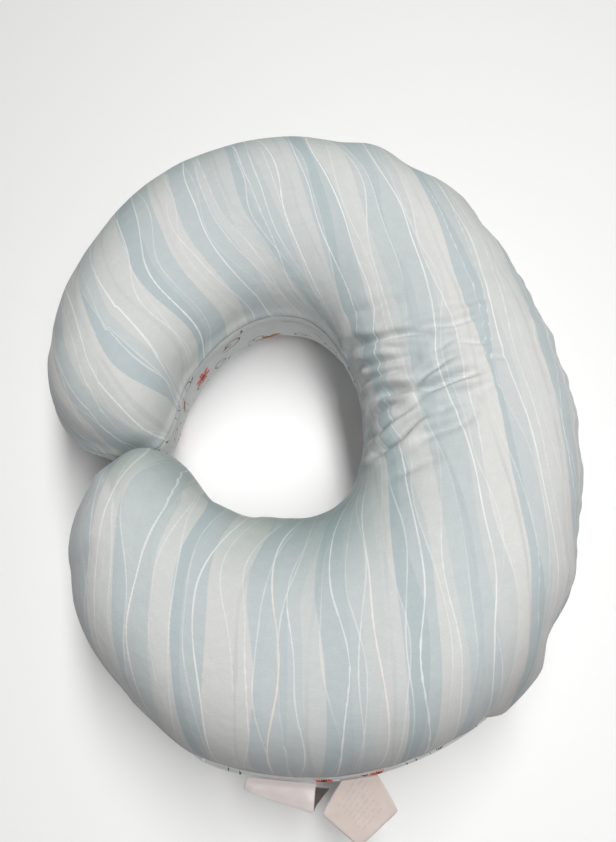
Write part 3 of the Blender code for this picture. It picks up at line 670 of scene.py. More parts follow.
def split_panel(ob, tag, material):
    """Three pieces that meet without a mark: on each arm and across the back."""
    me = ob.data
    co, nrm = coords(me), normals(me)
    nf = len(me.polygons)
    starts = np.zeros(nf, int)
    counts = np.zeros(nf, int)
    me.polygons.foreach_get("loop_start", starts)
    me.polygons.foreach_get("loop_total", counts)
    loops = np.zeros(len(me.loops), int)
    me.loops.foreach_get("vertex_index", loops)
    centre = np.add.reduceat(co[loops], starts, axis=0) / counts[:, None]
    lo, hi = MID
    mid = (centre[:, 0] > 0) & (centre[:, 1] > lo) & (centre[:, 1] < hi)
    near = ~mid & (((centre[:, 0] > 0) & (centre[:, 1] <= lo)) | ((centre[:, 0] <= 0) & (centre[:, 1] < TIP_PLANE + SHIFT[1])))
    parts = {"near": near, "back": mid, "far": ~mid & ~near}
    names = [a.name for a in me.attributes if a.domain == "POINT" and a.name not in ("position",) and not a.name.startswith(".")]
    data = {n: get_attribute(me, n) for n in names if me.attributes[n].data_type in ("FLOAT", "FLOAT_VECTOR")}
    made = {}
    for part, pick in parts.items():
        used_faces = np.nonzero(pick)[0]
        lists = [loops[starts[f]:starts[f] + counts[f]] for f in used_faces]
        used = np.unique(np.concatenate(lists))
        back = np.full(len(co), -1)
        back[used] = np.arange(len(used))
        piece = new_object(f"{tag}_{part}", co[used], [back[l] for l in lists])
        for n, v in data.items():
            put_attribute(piece.data, n, v[used])
        piece.data.normals_split_custom_set_from_vertices([tuple(v) for v in nrm[used]])
        piece.data.materials.append(material)
        made[part] = piece
    bpy.data.objects.remove(ob)
    for part, body in (("near", "near_arm"), ("far", "far_arm")):
        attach(made[part], body)
    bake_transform(made["back"], "near_arm", "far_arm", start=(0, MID[0] + 0.008, 0.08), end=(0, MID[1] - 0.008, 0.08))
    return made


MID = (-0.060, 0.105)


# -------------------------------------------------------------- materials
class Graph:
    def __init__(self, name):
        self.mat = bpy.data.materials.new(name)
        self.mat.use_nodes = True
        self.nt = self.mat.node_tree
        self.bsdf = self.nt.nodes["Principled BSDF"]

    def put(self, socket, value):
        if isinstance(value, bpy.types.NodeSocket):
            self.nt.links.new(value, socket)
        elif value is not None:
            if hasattr(value, "__len__") and len(value) == 3 and len(socket.default_value) == 4:
                value = (*value, 1.0)
            socket.default_value = value

    def node(self, kind, inputs=None, **props):
        n = self.nt.nodes.new(kind)
        for k, v in props.items():
            setattr(n, k, v)
        for k, v in (inputs or {}).items():
            self.put(n.inputs[k], v)
        return n

    def math(self, op, a, b=None, c=None, clamp=False):
        n = self.node("ShaderNodeMath", {0: a}, operation=op, use_clamp=clamp)
        if b is not None:
            self.put(n.inputs[1], b)
        if c is not None:
            self.put(n.inputs[2], c)
        return n.outputs[0]

    def mix(self, fac, a, b, blend="MIX"):
        n = self.node("ShaderNodeMix", data_type="RGBA", blend_type=blend)
        self.put(n.inputs[0], fac)
        self.put(n.inputs[6], a)
        self.put(n.inputs[7], b)
        return n.outputs[2]

    def step(self, x, lo, hi, a=0.0, b=1.0):
        n = self.node("ShaderNodeMapRange", {0: x, 1: lo, 2: hi, 3: a, 4: b}, interpolation_type="SMOOTHSTEP")
        return n.outputs[0]

    def attribute(self, name):
        n = self.node("ShaderNodeAttribute", attribute_name=name)
        return n.outputs["Vector"]

    def split(self, vec):
        return self.node("ShaderNodeSeparateXYZ", {0: vec}).outputs

    def join(self, x, y, z=0.0):
        return self.node("ShaderNodeCombineXYZ", {0: x, 1: y, 2: z}).outputs[0]

    def noise(self, vec, scale, detail=2.0, rough=0.5, distortion=0.0):
        n = self.node("ShaderNodeTexNoise", {"Vector": vec, "Scale": scale, "Detail": detail, "Roughness": rough, "Distortion": distortion})
        return n.outputs[0]

    def set(self, **kw):
        for k, v in kw.items():
            self.put(self.bsdf.inputs[k.replace("_", " ")], v)

    def bump(self, height, strength, distance, under=None):
        n = self.node("ShaderNodeBump", {"Height": height, "Strength": strength, "Distance": distance})
        if under is not None:
            self.put(n.inputs["Normal"], under)
        return n.outputs[0]

    def weave(self, vec, pitch):
        """Plain weave: 0..1 height of crossing threads, pitch in metres."""
        x, y, _ = self.split(vec)[:3]
        f = 2 * math.pi / pitch
        sx = self.math("SINE", self.math("MULTIPLY", x, f))
        sy = self.math("SINE", self.math("MULTIPLY", y, f))
        return self.math("MULTIPLY_ADD", self.math("MULTIPLY", sx, sy), 0.5, 0.5)


def cotton_surface(g, vec, colour):
    """Adds the cloth's own thread, slubs and small unevenness."""
    fine = g.weave(vec, 0.9 * MM)
    slub = g.noise(vec, 900.0, 2.0, 0.6)
    soft = g.noise(vec, 120.0, 3.0, 0.55)
    shade = g.math("MULTIPLY_ADD", fine, 0.05, 0.955)
    shade = g.math("MULTIPLY", shade, g.step(slub, 0.25, 0.75, 0.955, 1.03))
    shade = g.math("MULTIPLY", shade, g.step(soft, 0.2, 0.8, 0.975, 1.02))
    n = g.node("ShaderNodeVectorMath", {0: colour}, operation="SCALE")
    g.put(n.inputs["Scale"], shade)
    g.set(Base_Color=n.outputs[0], Sheen_Weight=0.12, Sheen_Roughness=0.5, Specular_IOR_Level=0.25)
    g.set(Roughness=g.step(slub, 0.2, 0.8, 0.80, 0.90))
    b1 = g.bump(fine, 0.25, 0.12 * MM)
    b2 = g.bump(soft, 0.30, 1.0 * MM, b1)
    g.set(Normal=b2)


def front_print():
    g = Graph("front_cotton_print")
    b, o, fy = g.split(g.attribute("bands"))[:3]
    la, lb, lc = g.split(g.attribute("lines"))[:3]
    ga, gb, gc = g.split(g.attribute("gaps"))[:3]
    vec = g.attribute("cloth")
    cx, cy, e = g.split(vec)[:3]
    rough_edge = g.math("MULTIPLY_ADD", g.noise(vec, 260.0, 2.0), 0.02, -0.010)
    ld, gd, inner = g.split(g.attribute("fourth"))[:3]

    def bands(p, soft):
        s = g.math("SINE", g.math("MULTIPLY", g.math("ADD", p, rough_edge), math.pi))
        return g.step(s, -soft, soft)

    def tone(p, seed):
        n = g.node("ShaderNodeTexWhiteNoise", noise_dimensions="2D")
        g.put(n.inputs["Vector"], g.join(g.math("FLOOR", g.math("ADD", p, rough_edge)), seed))
        return n.outputs["Value"]

    cream = g.mix(tone(b, 1.0), (0.640, 0.650, 0.636), (0.700, 0.698, 0.678))
    blue = g.mix(tone(b, 2.0), (0.455, 0.525, 0.545), (0.548, 0.592, 0.606))
    col = g.mix(bands(b, 0.06), cream, blue)
    over = g.mix(tone(o, 5.0), (0.500, 0.560, 0.570), (0.655, 0.666, 0.660))
    strength = g.step(tone(o, 7.0), 0.0, 1.0, 0.25, 0.60)
    col = g.mix(g.math("MULTIPLY", bands(o, 0.06), strength), col, over)
    # a third, thinner layer of washes that cross the others
    wash = g.mix(tone(ld, 11.0), (0.430, 0.515, 0.530), (0.690, 0.695, 0.683))
    col = g.mix(g.math("MULTIPLY", bands(ld, 0.06), g.step(tone(ld, 12.0), 0.1, 0.9, 0.0, 0.50)), col, wash)
    wash = g.mix(tone(lb, 14.0), (0.520, 0.580, 0.590), (0.680, 0.685, 0.670))
    col = g.mix(g.math("MULTIPLY", bands(lb, 0.06), g.step(tone(lb, 15.0), 0.3, 0.9, 0.0, 0.42)), col, wash)

    along = g.math("MULTIPLY", cy, 1.0)

    def lines(p, gap, half, soft, seed, lo, hi):
        near = g.math("ABSOLUTE", g.math("SUBTRACT", p, g.math("ROUND", p)))
        dist = g.math("MULTIPLY", near, gap)
        v = g.join(g.math("MULTIPLY", g.math("ROUND", p), 7.3), along, seed)
        width = g.step(g.noise(v, 38.0, 2.0), 0.3, 0.7, half * 0.62, half * 1.3)
        soft_w = g.math("ADD", width, soft)
        n = g.node("ShaderNodeMapRange", {0: dist, 1: width, 2: soft_w, 3: 1.0, 4: 0.0})
        fade = g.step(g.noise(v, 14.0, 2.0), 0.32, 0.62, lo, hi)
        return g.math("MULTIPLY", n.outputs[0], fade)

    warm = g.math("MULTIPLY", g.step(fy, -0.09, -0.19), g.step(g.noise(g.join(g.math("ROUND", la), 0.5), 5.0), 0.35, 0.6))
    white = g.mix(warm, (0.86, 0.87, 0.85), (0.88, 0.775, 0.735))
    col = g.mix(lines(lc, gc, 0.80 * MM, 0.9 * MM, 3.0, 0.08, 0.32), col, (0.47, 0.49, 0.50))
    col = g.mix(lines(ld, gd, 0.24 * MM, 0.35 * MM, 13.0, 0.16, 0.60), col, (0.80, 0.81, 0.795))
    col = g.mix(lines(lb, gb, 0.27 * MM, 0.35 * MM, 9.0, 0.22, 0.75), col, (0.82, 0.83, 0.815))
    col = g.mix(lines(la, ga, 0.34 * MM, 0.35 * MM, 5.0, 0.50, 0.92), col, white)
    # painted shade: the print is multiplied darker by the 'depth' weights, teal-tinted on cloth facing +Y and grey on
    # the near arm's outer side
    painted_shade_grey, painted_shade_teal, _ = g.split(g.attribute("depth"))[:3]
    col = g.mix(painted_shade_teal, col, (0.56, 0.655, 0.632), "MULTIPLY")
    col = g.mix(painted_shade_grey, col, (0.50, 0.485, 0.50), "MULTIPLY")
    cotton_surface(g, vec, col)
    return g.mat


def back_print():
    """Pale ground with scattered blossoms, curls and leaves of a generic kind."""
    g = Graph("back_cotton_print")
    vec = g.attribute("cloth")
    x, y, e = g.split(vec)[:3]
    flat = g.join(x, y)
    ground = g.mix(g.noise(flat, 30.0, 2.0), (0.66, 0.69, 0.69), (0.70, 0.715, 0.705))
    col = ground

    def cells(scale, offset, jitter=0.7):
        p = g.node("ShaderNodeVectorMath", {0: flat, 1: offset}, operation="ADD").outputs[0]
        v = g.node("ShaderNodeTexVoronoi", {"Vector": p, "Scale": scale, "Randomness": jitter}, voronoi_dimensions="2D", feature="F1")
        d = g.node("ShaderNodeVectorMath", {0: p, 1: v.outputs["Position"]}, operation="SUBTRACT").outputs[0]
        dx, dy, _ = g.split(d)[:3]
        r = g.node("ShaderNodeVectorMath", {0: g.join(dx, dy)}, operation="LENGTH").outputs["Value"]
        c = g.node("ShaderNodeSeparateColor", {0: v.outputs["Color"]}).outputs
        a = g.math("ADD", g.math("ARCTAN2", dy, dx), g.math("MULTIPLY", c[1], 6.283))
        return dx, dy, r, a, c

    def disc(r, edge, soft=0.35 * MM):
        return g.math("SUBTRACT", 1.0, g.node("ShaderNodeMapRange", {0: r, 1: edge, 2: g.math("ADD", edge, soft) if isinstance(edge, bpy.types.NodeSocket) else edge + soft}).outputs[0])

    # curls
    dx, dy, r, a, c = cells(1 / 0.025, (0.011, 0.004, 0))
    turn = g.math("DIVIDE", a, 2 * math.pi)
    spiral = g.math("FRACT", g.math("ADD", g.math("SUBTRACT", g.math("DIVIDE", r, 4.6 * MM), turn), 8.0))
    band = g.math("SUBTRACT", 1.0, g.step(g.math("ABSOLUTE", g.math("SUBTRACT", spiral, 0.5)), 0.075, 0.13))
    curl = g.math("MULTIPLY", band, g.math("MULTIPLY", disc(r, 6.4 * MM), g.step(r, 1.2 * MM, 1.7 * MM)))
    curl = g.math("MULTIPLY", curl, g.math("GREATER_THAN", c[0], 0.18))
    curl_colour = g.mix(g.math("GREATER_THAN", c[2], 0.5), (0.055, 0.075, 0.075), (0.16, 0.085, 0.05))
    col = g.mix(curl, col, curl_colour)
    # leaves
    dx, dy, r, a, c = cells(1 / 0.021, (0.003, 0.017, 0), 0.9)
    lx = g.math("MULTIPLY", r, g.math("COSINE", a))
    ly = g.math("MULTIPLY", r, g.math("SINE", a))
    bend = g.math("ADD", ly, g.math("MULTIPLY", g.math("MULTIPLY", lx, lx), 60.0))
    leaf = g.math("SUBTRACT", 1.0, g.step(g.math("ADD", g.math("MULTIPLY", g.math("ABSOLUTE", bend), 4.6), g.math("ABSOLUTE", lx)), 3.4 * MM, 3.9 * MM))
    leaf = g.math("MULTIPLY", leaf, g.math("GREATER_THAN", c[0], 0.22))
    col = g.mix(leaf, col, g.mix(c[2], (0.05, 0.10, 0.085), (0.10, 0.14, 0.13)))
    # blossoms
    dx, dy, r, a, c = cells(1 / 0.054, (0.0, 0.0, 0), 0.8)
    petal = g.math("ABSOLUTE", g.math("COSINE", g.math("MULTIPLY", a, 3.0)))
    edge = g.math("MULTIPLY", g.math("MULTIPLY_ADD", petal, 5.6 * MM, 3.6 * MM), g.step(c[2], 0, 1, 0.75, 1.15))
    bloom = g.math("MULTIPLY", disc(r, edge), g.math("GREATER_THAN", c[0], 0.25))
    vein = g.step(g.math("ABSOLUTE", g.math("SINE", g.math("MULTIPLY", a, 6.0))), 0.12, 0.3)
    red = g.mix(vein, (0.80, 0.42, 0.36), (0.72, 0.115, 0.075))
    rust = g.mix(vein, (0.10, 0.05, 0.03), (0.42, 0.15, 0.06))
    colour = g.mix(g.math("GREATER_THAN", c[1], 0.55), red, rust)
    col = g.mix(bloom, col, colour)
    heart = g.math("MULTIPLY", disc(r, 1.9 * MM), g.math("GREATER_THAN", c[0], 0.25))
    col = g.mix(heart, col, (0.14, 0.05, 0.03))
    cotton_surface(g, vec, col)
    return g.mat


def plain_cloth(name, colour, pitch=0.8 * MM, rough=0.85, source="object", sheen=0.1, vary=0.05, bump=0.3):
    g = Graph(name)
    if source == "object":
        vec = g.node("ShaderNodeTexCoord").outputs["Object"]
    else:
        vec = g.attribute(source)
    x, y, z = g.split(vec)[:3]
    if source == "object":
        vec = g.join(g.math("ADD", x, z), g.math("SUBTRACT", y, z))
    fine = g.weave(vec, pitch)
    blot = g.noise(vec, 200.0, 3.0)
    shade = g.math("MULTIPLY", g.math("MULTIPLY_ADD", fine, vary, 1 - vary), g.step(blot, 0.2, 0.8, 1 - vary, 1.0))
    n = g.node("ShaderNodeVectorMath", {0: tuple(colour)}, operation="SCALE")
    g.put(n.inputs["Scale"], shade)
    g.set(Base_Color=n.outputs[0], Sheen_Weight=sheen, Roughness=g.step(blot, 0.2, 0.8, rough - 0.04, rough + 0.04))
    g.set(Normal=g.bump(fine, bump, 0.15 * MM))
    return g.mat


MAT = {
    "front": front_print(),
    "back": back_print(),
    "tape": plain_cloth("zipper_tape_weave", (0.90, 0.87, 0.86), 0.7 * MM, 0.8, vary=0.12),
    "elastic": plain_cloth("elastic_weave", (0.80, 0.79, 0.77), 0.9 * MM, 0.8, vary=0.15),
    "casing": plain_cloth("casing_weave", (0.76, 0.755, 0.74), 1.0 * MM, 0.9),
}

# ----------------------------------------------------------- make the cover
def inflated(rest, start, faces, hold, frames=20, cap=6.0 * MM):
    """The cover blown up by its filling, as a closed cloth held at its seams."""
    ob = new_object("cover_cloth", start, faces)
    ob.shape_key_add(name="Basis")
    key = ob.shape_key_add(name="cut")
    key.data.foreach_set("co", rest.ravel())
    key.value = 0.0
    group = ob.vertex_groups.new(name="held")
    for level in (0.25, 0.5, 0.75, 1.0):
        idx = np.nonzero((hold > level - 0.25) & (hold <= level))[0]
        group.add([int(i) for i in idx], level, "REPLACE")
    mod = ob.modifiers.new("cloth", "CLOTH")
    st = mod.settings
    st.quality = 4
    st.mass = 0.25
    st.air_damping = 3.0
    st.tension_stiffness, st.compression_stiffness, st.shear_stiffness = 18, 10, 6
    st.bending_stiffness = 0.25
    st.use_pressure = True
    st.uniform_pressure_force = 4.0
    st.vertex_group_mass = "held"
    st.pin_stiffness = 6.0
    st.rest_shape_key = key
    st.effector_weights.gravity = 0.0
    mod.collision_settings.use_collision = False
    mod.point_cache.frame_start, mod.point_cache.frame_end = 1, frames
    scene = bpy.context.scene
    for f in range(1, frames + 1):
        scene.frame_set(f)
    dg = bpy.context.evaluated_depsgraph_get()
    me = bpy.data.meshes.new_from_object(ob.evaluated_get(dg))
    got = coords(me)
    bpy.data.objects.remove(ob)
    bpy.data.meshes.remove(me)
    scene.frame_set(1)
    if not np.isfinite(got).all():
        return rest
    d = got - rest
    far = np.linalg.norm(d, axis=1, keepdims=True)
    return rest + d * np.minimum(1.0, cap / np.maximum(far, 1e-9))


tmp = new_object("cover_grid", COVER, COVER_FACES)
COVER_NORMALS = normals(tmp.data)
bpy.data.objects.remove(tmp)
COVER_NOW = stuffing(COVER, COVER_NORMALS)
# seams and the face on the ground are held, the rest may swell and crease
hold = np.zeros(len(COVER))
tight = np.ones(len(COVER))
for (side, up), g in IDS.items():
    for r, share in enumerate((1.0, 0.75, 0.5, 0.25)):
        hold[g[r]] = np.maximum(hold[g[r]], share)
hold = np.maximum(hold, 1 - smooth(COVER_NOW[:, 2], 0.002, 0.012))
slack = 1.5 * MM * (1 - smooth(hold, 0.0, 0.6))
start = COVER_NOW - COVER_NORMALS * (2.0 * slack)[:, None]
blown = inflated(COVER_NOW, start, COVER_FACES, hold)
moved = blown - COVER_NOW
# the drawn form is kept: only what differs from place to place is taken over
edges = np.array(sorted({tuple(sorted((f[i], f[(i + 1) % len(f)]))) for f in COVER_FACES for i in range(len(f))}))
count = np.bincount(edges.ravel(), minlength=len(COVER)).clip(1)[:, None]
wide = moved.copy()
for _ in range(90):
    total = np.zeros_like(wide)
    for j in range(3):
        total[:, j] = (np.bincount(edges[:, 0], wide[edges[:, 1], j], len(wide))
                       + np.bincount(edges[:, 1], wide[edges[:, 0], j], len(wide)))
    wide = 0.4 * wide + 0.6 * total / count
moved = moved - wide
COVER_NOW = COVER_NOW + moved
COVER_NOW[:, 2] = np.maximum(COVER_NOW[:, 2], 0.0)

front = build_panel(1, COVER_NOW, "front")
finish_panel(front, 1)
back = build_panel(-1, COVER_NOW, "back")
finish_panel(back, -1)
FRONT = split_panel(front, "cover_front_panel", MAT["front"])
BACK = split_panel(back, "cover_back_panel", MAT["back"])
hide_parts("cover_front_near", "casing_front_near", "casing_back_near", "fibre_fill_near", "seam_elastic_near")
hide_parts("cover_front_far", "casing_front_far", "casing_back_far", "fibre_fill_far", "seam_elastic_far")
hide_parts("cover_back_near")
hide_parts("cover_back_far")


# ------------------------------------------------------------------ zipper
def arc_point(deg, across_m, normal_m):
    a = np.radians(np.asarray(deg, float))
    d = np.stack([np.cos(a), np.sin(a)], -1)
    p = np.concatenate([ZIP_C + d * ZIP_R, np.full(d.shape[:-1] + (1,), SEAM_OUT)], -1)
    across, normal = band_axes(p)
    p = p + across * np.asarray(across_m)[..., None] + normal * np.asarray(normal_m)[..., None]
    p[..., :2] += SHIFT
    return p


def tube(name, paths, radius, sides=6, material=None, ends=True):
    """Round wires along the given polylines, as one mesh."""
    verts, faces, runs = [], [], []
    for path in paths:
        path = np.asarray(path, float)
        n = len(path)
        t = unit(np.gradient(path, axis=0))
        ref = np.tile(np.array([0.0, 0.0, 1.0]), (n, 1))
        ref[np.abs(t[:, 2]) > 0.95] = (1.0, 0.0, 0.0)
        a = unit(np.cross(t, ref))
        b = np.cross(t, a)
        r = np.full(n, radius)
        if ends:
            r[0] = r[-1] = radius * 0.55
        base = len(verts)
        ang = 2 * math.pi * np.arange(sides) / sides
        ring = path[:, None] + r[:, None, None] * (np.cos(ang)[None, :, None] * a[:, None] + np.sin(ang)[None, :, None] * b[:, None])
        verts.extend(ring.reshape(-1, 3))
        for i in range(n - 1):
            for j in range(sides):
                k = (j + 1) % sides
                faces.append((base + i * sides + j, base + i * sides + k, base + (i + 1) * sides + k, base + (i + 1) * sides + j))
        faces.append(tuple(base + j for j in range(sides))[::-1])
        faces.append(tuple(base + (n - 1) * sides + j for j in range(sides)))
    ob = new_object(name, verts, faces)
    if material:
        ob.data.materials.append(material)
    return ob


def enamel():
    g = Graph("zipper_enamel")
    n = g.noise(g.node("ShaderNodeTexCoord").outputs["Object"], 400.0, 2.0)
    g.set(Base_Color=g.mix(n, (0.78, 0.75, 0.735), (0.82, 0.79, 0.775)), Roughness=g.step(n, 0.3, 0.7, 0.26, 0.36),
          Specular_IOR_Level=0.5, Coat_Weight=0.25, Normal=g.bump(n, 0.1, 0.05 * MM))
    return g.mat


def nylon():
    g = Graph("coil_nylon")
    n = g.noise(g.node("ShaderNodeTexCoord").outputs["Object"], 900.0, 2.0)
    g.set(Base_Color=g.mix(n, (0.88, 0.86, 0.85), (0.92, 0.905, 0.895)), Roughness=0.38, Subsurface_Weight=0.0, Specular_IOR_Level=0.5)
    return g.mat


def thread():
    g = Graph("sewing_thread")
    x, y, z = g.split(g.node("ShaderNodeTexCoord").outputs["Object"])[:3]
    ply = g.math("SINE", g.math("MULTIPLY", g.math("ADD", g.math("ADD", x, y), z), 9000.0))
    g.set(Base_Color=g.mix(g.math("MULTIPLY_ADD", ply, 0.5, 0.5), (0.62, 0.64, 0.64), (0.78, 0.79, 0.785)), Roughness=0.6, Sheen_Weight=0.2)
    return g.mat


MAT["enamel"], MAT["nylon"], MAT["thread"] = enamel(), nylon(), thread()
span = math.radians(COIL_TO - COIL_FROM) * ZIP_R
PITCH = 1.5 * MM
turns = int(span / PITCH)
for up, tag in ((1, "front"), (-1, "back")):
    t = np.linspace(0, turns, turns * 14 + 1)
    ph = 2 * math.pi * t + (0 if up > 0 else math.pi)
    deg = COIL_FROM + (COIL_TO - COIL_FROM) * t / turns
    across = up * (1.10 * MM - 1.40 * MM * np.cos(ph))
    normal = -0.5 * MM + 0.68 * MM * np.sin(ph)
    coil = tube("coil_" + tag, [arc_point(deg, across, normal)], 0.24 * MM, 6, MAT["nylon"])
    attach(coil, "near_arm")
    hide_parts("zipper_coil_" + tag)

CAD = {o.name: o for o in bpy.context.scene.objects if o.type == "MESH"}
for name, ob in CAD.items():
    mat = None
    if name.startswith("zipper_tape"):
        mat = MAT["tape"]
    elif name.startswith(("zipper_slider", "zipper_pull", "zipper_top", "zipper_bottom")):
        mat = MAT["enamel"]
    if mat:
        ob.data.materials.clear()
        ob.data.materials.append(mat)


# stitches that hold the panels to the tapes
def surface(objects):
    from mathutils.bvhtree import BVHTree
    verts, polys = [], []
    for ob in objects:
        base = len(verts)
        verts.extend(v.co.copy() for v in ob.data.vertices)
        polys.extend([base + i for i in p.vertices] for p in ob.data.polygons)
    return BVHTree.FromPolygons(verts, polys)


def stitched(name, guide, tree, pitch, length, radius, body):
    """Short thread stitches laid on the cloth along a guide line."""
    seg = np.linalg.norm(np.diff(guide, axis=0), axis=1)
    run = np.concatenate([[0], np.cumsum(seg)])
    paths = []
    for s0 in np.arange(pitch, run[-1] - pitch, pitch):
        pts = []
        for i, s1 in enumerate(np.linspace(s0, s0 + length, 5)):
            p = Vector([float(np.interp(s1, run, guide[:, j])) for j in range(3)])
            hit = tree.find_nearest(p, 0.02)
            if hit[0] is None:
                break
            lift = (-0.10, 0.16, 0.22, 0.16, -0.10)[i] * MM
            pts.append(hit[0] + hit[1] * lift)
        if len(pts) == 5:
            paths.append([tuple(q) for q in pts])
    ob = tube(name, paths, radius, 5, MAT["thread"], ends=True)
    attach(ob, body)
    return ob


zone = np.nonzero(LOOPS[-1]["band"] > 0.9)[0]
for up, tag, pieces in ((1, "front", FRONT), (-1, "back", BACK)):
    P = COVER_NOW[IDS[-1, up]]
    guide = (P[1] * 0.55 + P[2] * 0.45)[zone]
    stitched("zipper_stitches_" + tag, guide, surface([pieces["near"]]), 3.0 * MM, 2.2 * MM, 0.17 * MM, "near_arm")


# ------------------------------------------------------------------ labels
def label_frame(deg):
    base = Vector(arc_point(deg, -5.3 * MM, 0.0))
    a = math.radians(deg)
    c, sl = math.cos(math.radians(18)), math.sin(math.radians(18))
    out = Vector((math.cos(a) * c, math.sin(a) * c, -sl))
    along = Vector((0, 0, 1)).cross(out).normalized()
    return np.array(base), np.array(out), np.array(along), np.array(out.cross(along))


def sheet_object(name, grid, uv, thick, material):
    n, m = grid.shape[:2]
    faces = [(i * m + j, i * m + j + 1, (i + 1) * m + j + 1, (i + 1) * m + j) for i in range(n - 1) for j in range(m - 1)]
    ob = new_object(name, grid.reshape(-1, 3), faces)
    put_attribute(ob.data, "cloth", np.concatenate([uv.reshape(-1, 2), np.zeros((n * m, 1))], 1))
    ob.data.materials.append(material)
    mod = ob.modifiers.new("thick", "SOLIDIFY")
    mod.thickness, mod.offset = thick, 0.0
    return ob


def satin():
    g = Graph("label_satin_weave")
    vec = g.attribute("cloth")
    x, y, _ = g.split(vec)[:3]
    fine = g.weave(vec, 0.35 * MM)
    rib = g.math("SINE", g.math("MULTIPLY", x, 2 * math.pi / (0.5 * MM)))
    blot = g.noise(vec, 160.0, 3.0)
    col = g.mix(blot, (0.70, 0.625, 0.605), (0.78, 0.71, 0.69))
    # painted shade: faces seen from behind get a darker copy of the satin colour
    front = g.node("ShaderNodeNewGeometry").outputs["Backfacing"]
    shade = g.mix(front, col, (0.50, 0.44, 0.425))
    g.set(Base_Color=shade, Roughness=g.step(blot, 0.3, 0.7, 0.30, 0.42), Specular_IOR_Level=0.6, Anisotropic=0.5,
          Sheen_Weight=0.15, Normal=g.bump(g.math("ADD", fine, g.math("MULTIPLY", rib, 0.4)), 0.12, 0.06 * MM))
    return g.mat


def woven():
    """Taffeta label; where the real one has printing there are only faint bars."""
    g = Graph("label_woven_taffeta")
    vec = g.attribute("cloth")
    x, y, _ = g.split(vec)[:3]
    fine = g.weave(vec, 0.45 * MM)
    blot = g.noise(vec, 140.0, 3.0)
    col = g.mix(blot, (0.665, 0.565, 0.520), (0.735, 0.635, 0.590))
    row = g.math("FLOOR", g.math("DIVIDE", y, 3.1 * MM))
    inrow = g.math("FRACT", g.math("DIVIDE", y, 3.1 * MM))
    bar = g.math("MULTIPLY", g.step(inrow, 0.30, 0.36), g.math("SUBTRACT", 1.0, g.step(inrow, 0.52, 0.58)))
    gaps = g.noise(g.join(g.math("MULTIPLY", x, 1.0), g.math("MULTIPLY", row, 3.7)), 260.0, 1.0)
    bar = g.math("MULTIPLY", bar, g.step(gaps, 0.46, 0.52))
    edge = g.math("MULTIPLY", g.step(g.math("ABSOLUTE", x), 14.5 * MM, 13.0 * MM), g.step(g.math("ABSOLUTE", y), 13.5 * MM, 12.5 * MM))
    bar = g.math("MULTIPLY", g.math("MULTIPLY", bar, edge), 0.30)
    col = g.mix(bar, col, (0.36, 0.33, 0.33))
    g.set(Base_Color=col, Roughness=g.step(blot, 0.3, 0.7, 0.62, 0.74), Sheen_Weight=0.2,
          Normal=g.bump(fine, 0.2, 0.10 * MM))
    return g.mat


def satin_inside():
    """The ribbon's inner face: its lower half is painted dark, painted shade for the shadowed inside of the loop."""
    g = Graph("label_satin_inside")
    vec = g.attribute("cloth")
    x, y, _ = g.split(vec)[:3]
    rib = g.math("SINE", g.math("MULTIPLY", x, 2 * math.pi / (0.7 * MM)))
    blot = g.noise(vec, 300.0, 3.0)
    # painted shade: a near-black fill with faint ribs for the loop's shadowed inside
    dark = g.mix(g.math("MULTIPLY", g.math("MULTIPLY_ADD", rib, 0.5, 0.5), blot), (0.060, 0.050, 0.045), (0.20, 0.17, 0.155))
    col = g.mix(g.step(y, 22 * MM, 25 * MM), (0.66, 0.60, 0.58), dark)
    g.set(Base_Color=col, Roughness=g.step(blot, 0.3, 0.7, 0.5, 0.6), Normal=g.bump(rib, 0.15, 0.06 * MM))
    return g.mat


MAT["satin"], MAT["woven"], MAT["satin_inside"] = satin(), woven(), satin_inside()

# satin ribbon: a loop with both ends in the seam, folded askew and curled
base, out, along, nrm = label_frame(-104.5)
NV, NS = 47, 61
V = np.linspace(-23, 22.5, NV)[:, None] * np.ones((1, NS))
share = (V + 22) / 46
reach = 9.5 + 9.5 * share
height = 2.2 + 5.0 * smooth(share, 0.25, 1.0)
S = np.linspace(0, 1, NS)[None, :] * np.ones((NV, 1))
top = np.clip(S / 0.42, 0, 1)
turn = np.clip((S - 0.42) / 0.16, 0, 1)
low = np.clip((S - 0.58) / 0.42, 0, 1)
half = height / 2
flat_reach = reach - half
O = np.where(S <= 0.42, -0.6 + (flat_reach + 0.6) * top, np.where(S < 0.58, flat_reach + half * np.sin(turn * math.pi), flat_reach - (flat_reach - 2.2) * low))
N = np.where(S <= 0.42, half * smooth(top, 0.0, 0.75) * 1.0, np.where(S < 0.58, half * np.cos(turn * math.pi), -half * (1 - smooth(low, 0.55, 1.0)) - 1.3 * smooth(low, 0.55, 1.0)))
shear = np.where(S <= 0.5, 0.0, 9.5 * np.clip((S - 0.5) / 0.5, 0, 1))
A = V + shear * 1.0 + np.where(S <= 0.42, -1.5 * (1 - share) * np.sin(top * math.pi / 2), 0)
# the left end rolls over
roll = 1 - smooth(share, 0.0, 0.10)
O = O * (1 - 0.18 * roll * smooth(O, 6, 14))
N = N - 1.3 * roll * smooth(O, 2, 12)
N = N + 0.35 * noise2(A / 9.0, O / 7.0, 5) * smooth(O, 2, 8)
N = N + 0.7 * (1 - smooth(O, -0.6, 4.0)) * (S <= 0.42)
grid = base + (out * O[..., None] + along * A[..., None] + nrm * N[..., None]) * MM
uv = np.stack([V * MM, S * 44 * MM], -1)
satin_label = sheet_object("satin_ribbon_label", grid, uv, 0.22 * MM, MAT["satin"])
satin_label.data.materials.append(MAT["satin_inside"])
satin_label.modifiers["thick"].material_offset = 1
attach(satin_label, "satin_label")
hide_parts("care_label_satin")

# woven label: two plies, sewn in with one corner inside the seam
base, out, along, nrm = label_frame(-91.0)


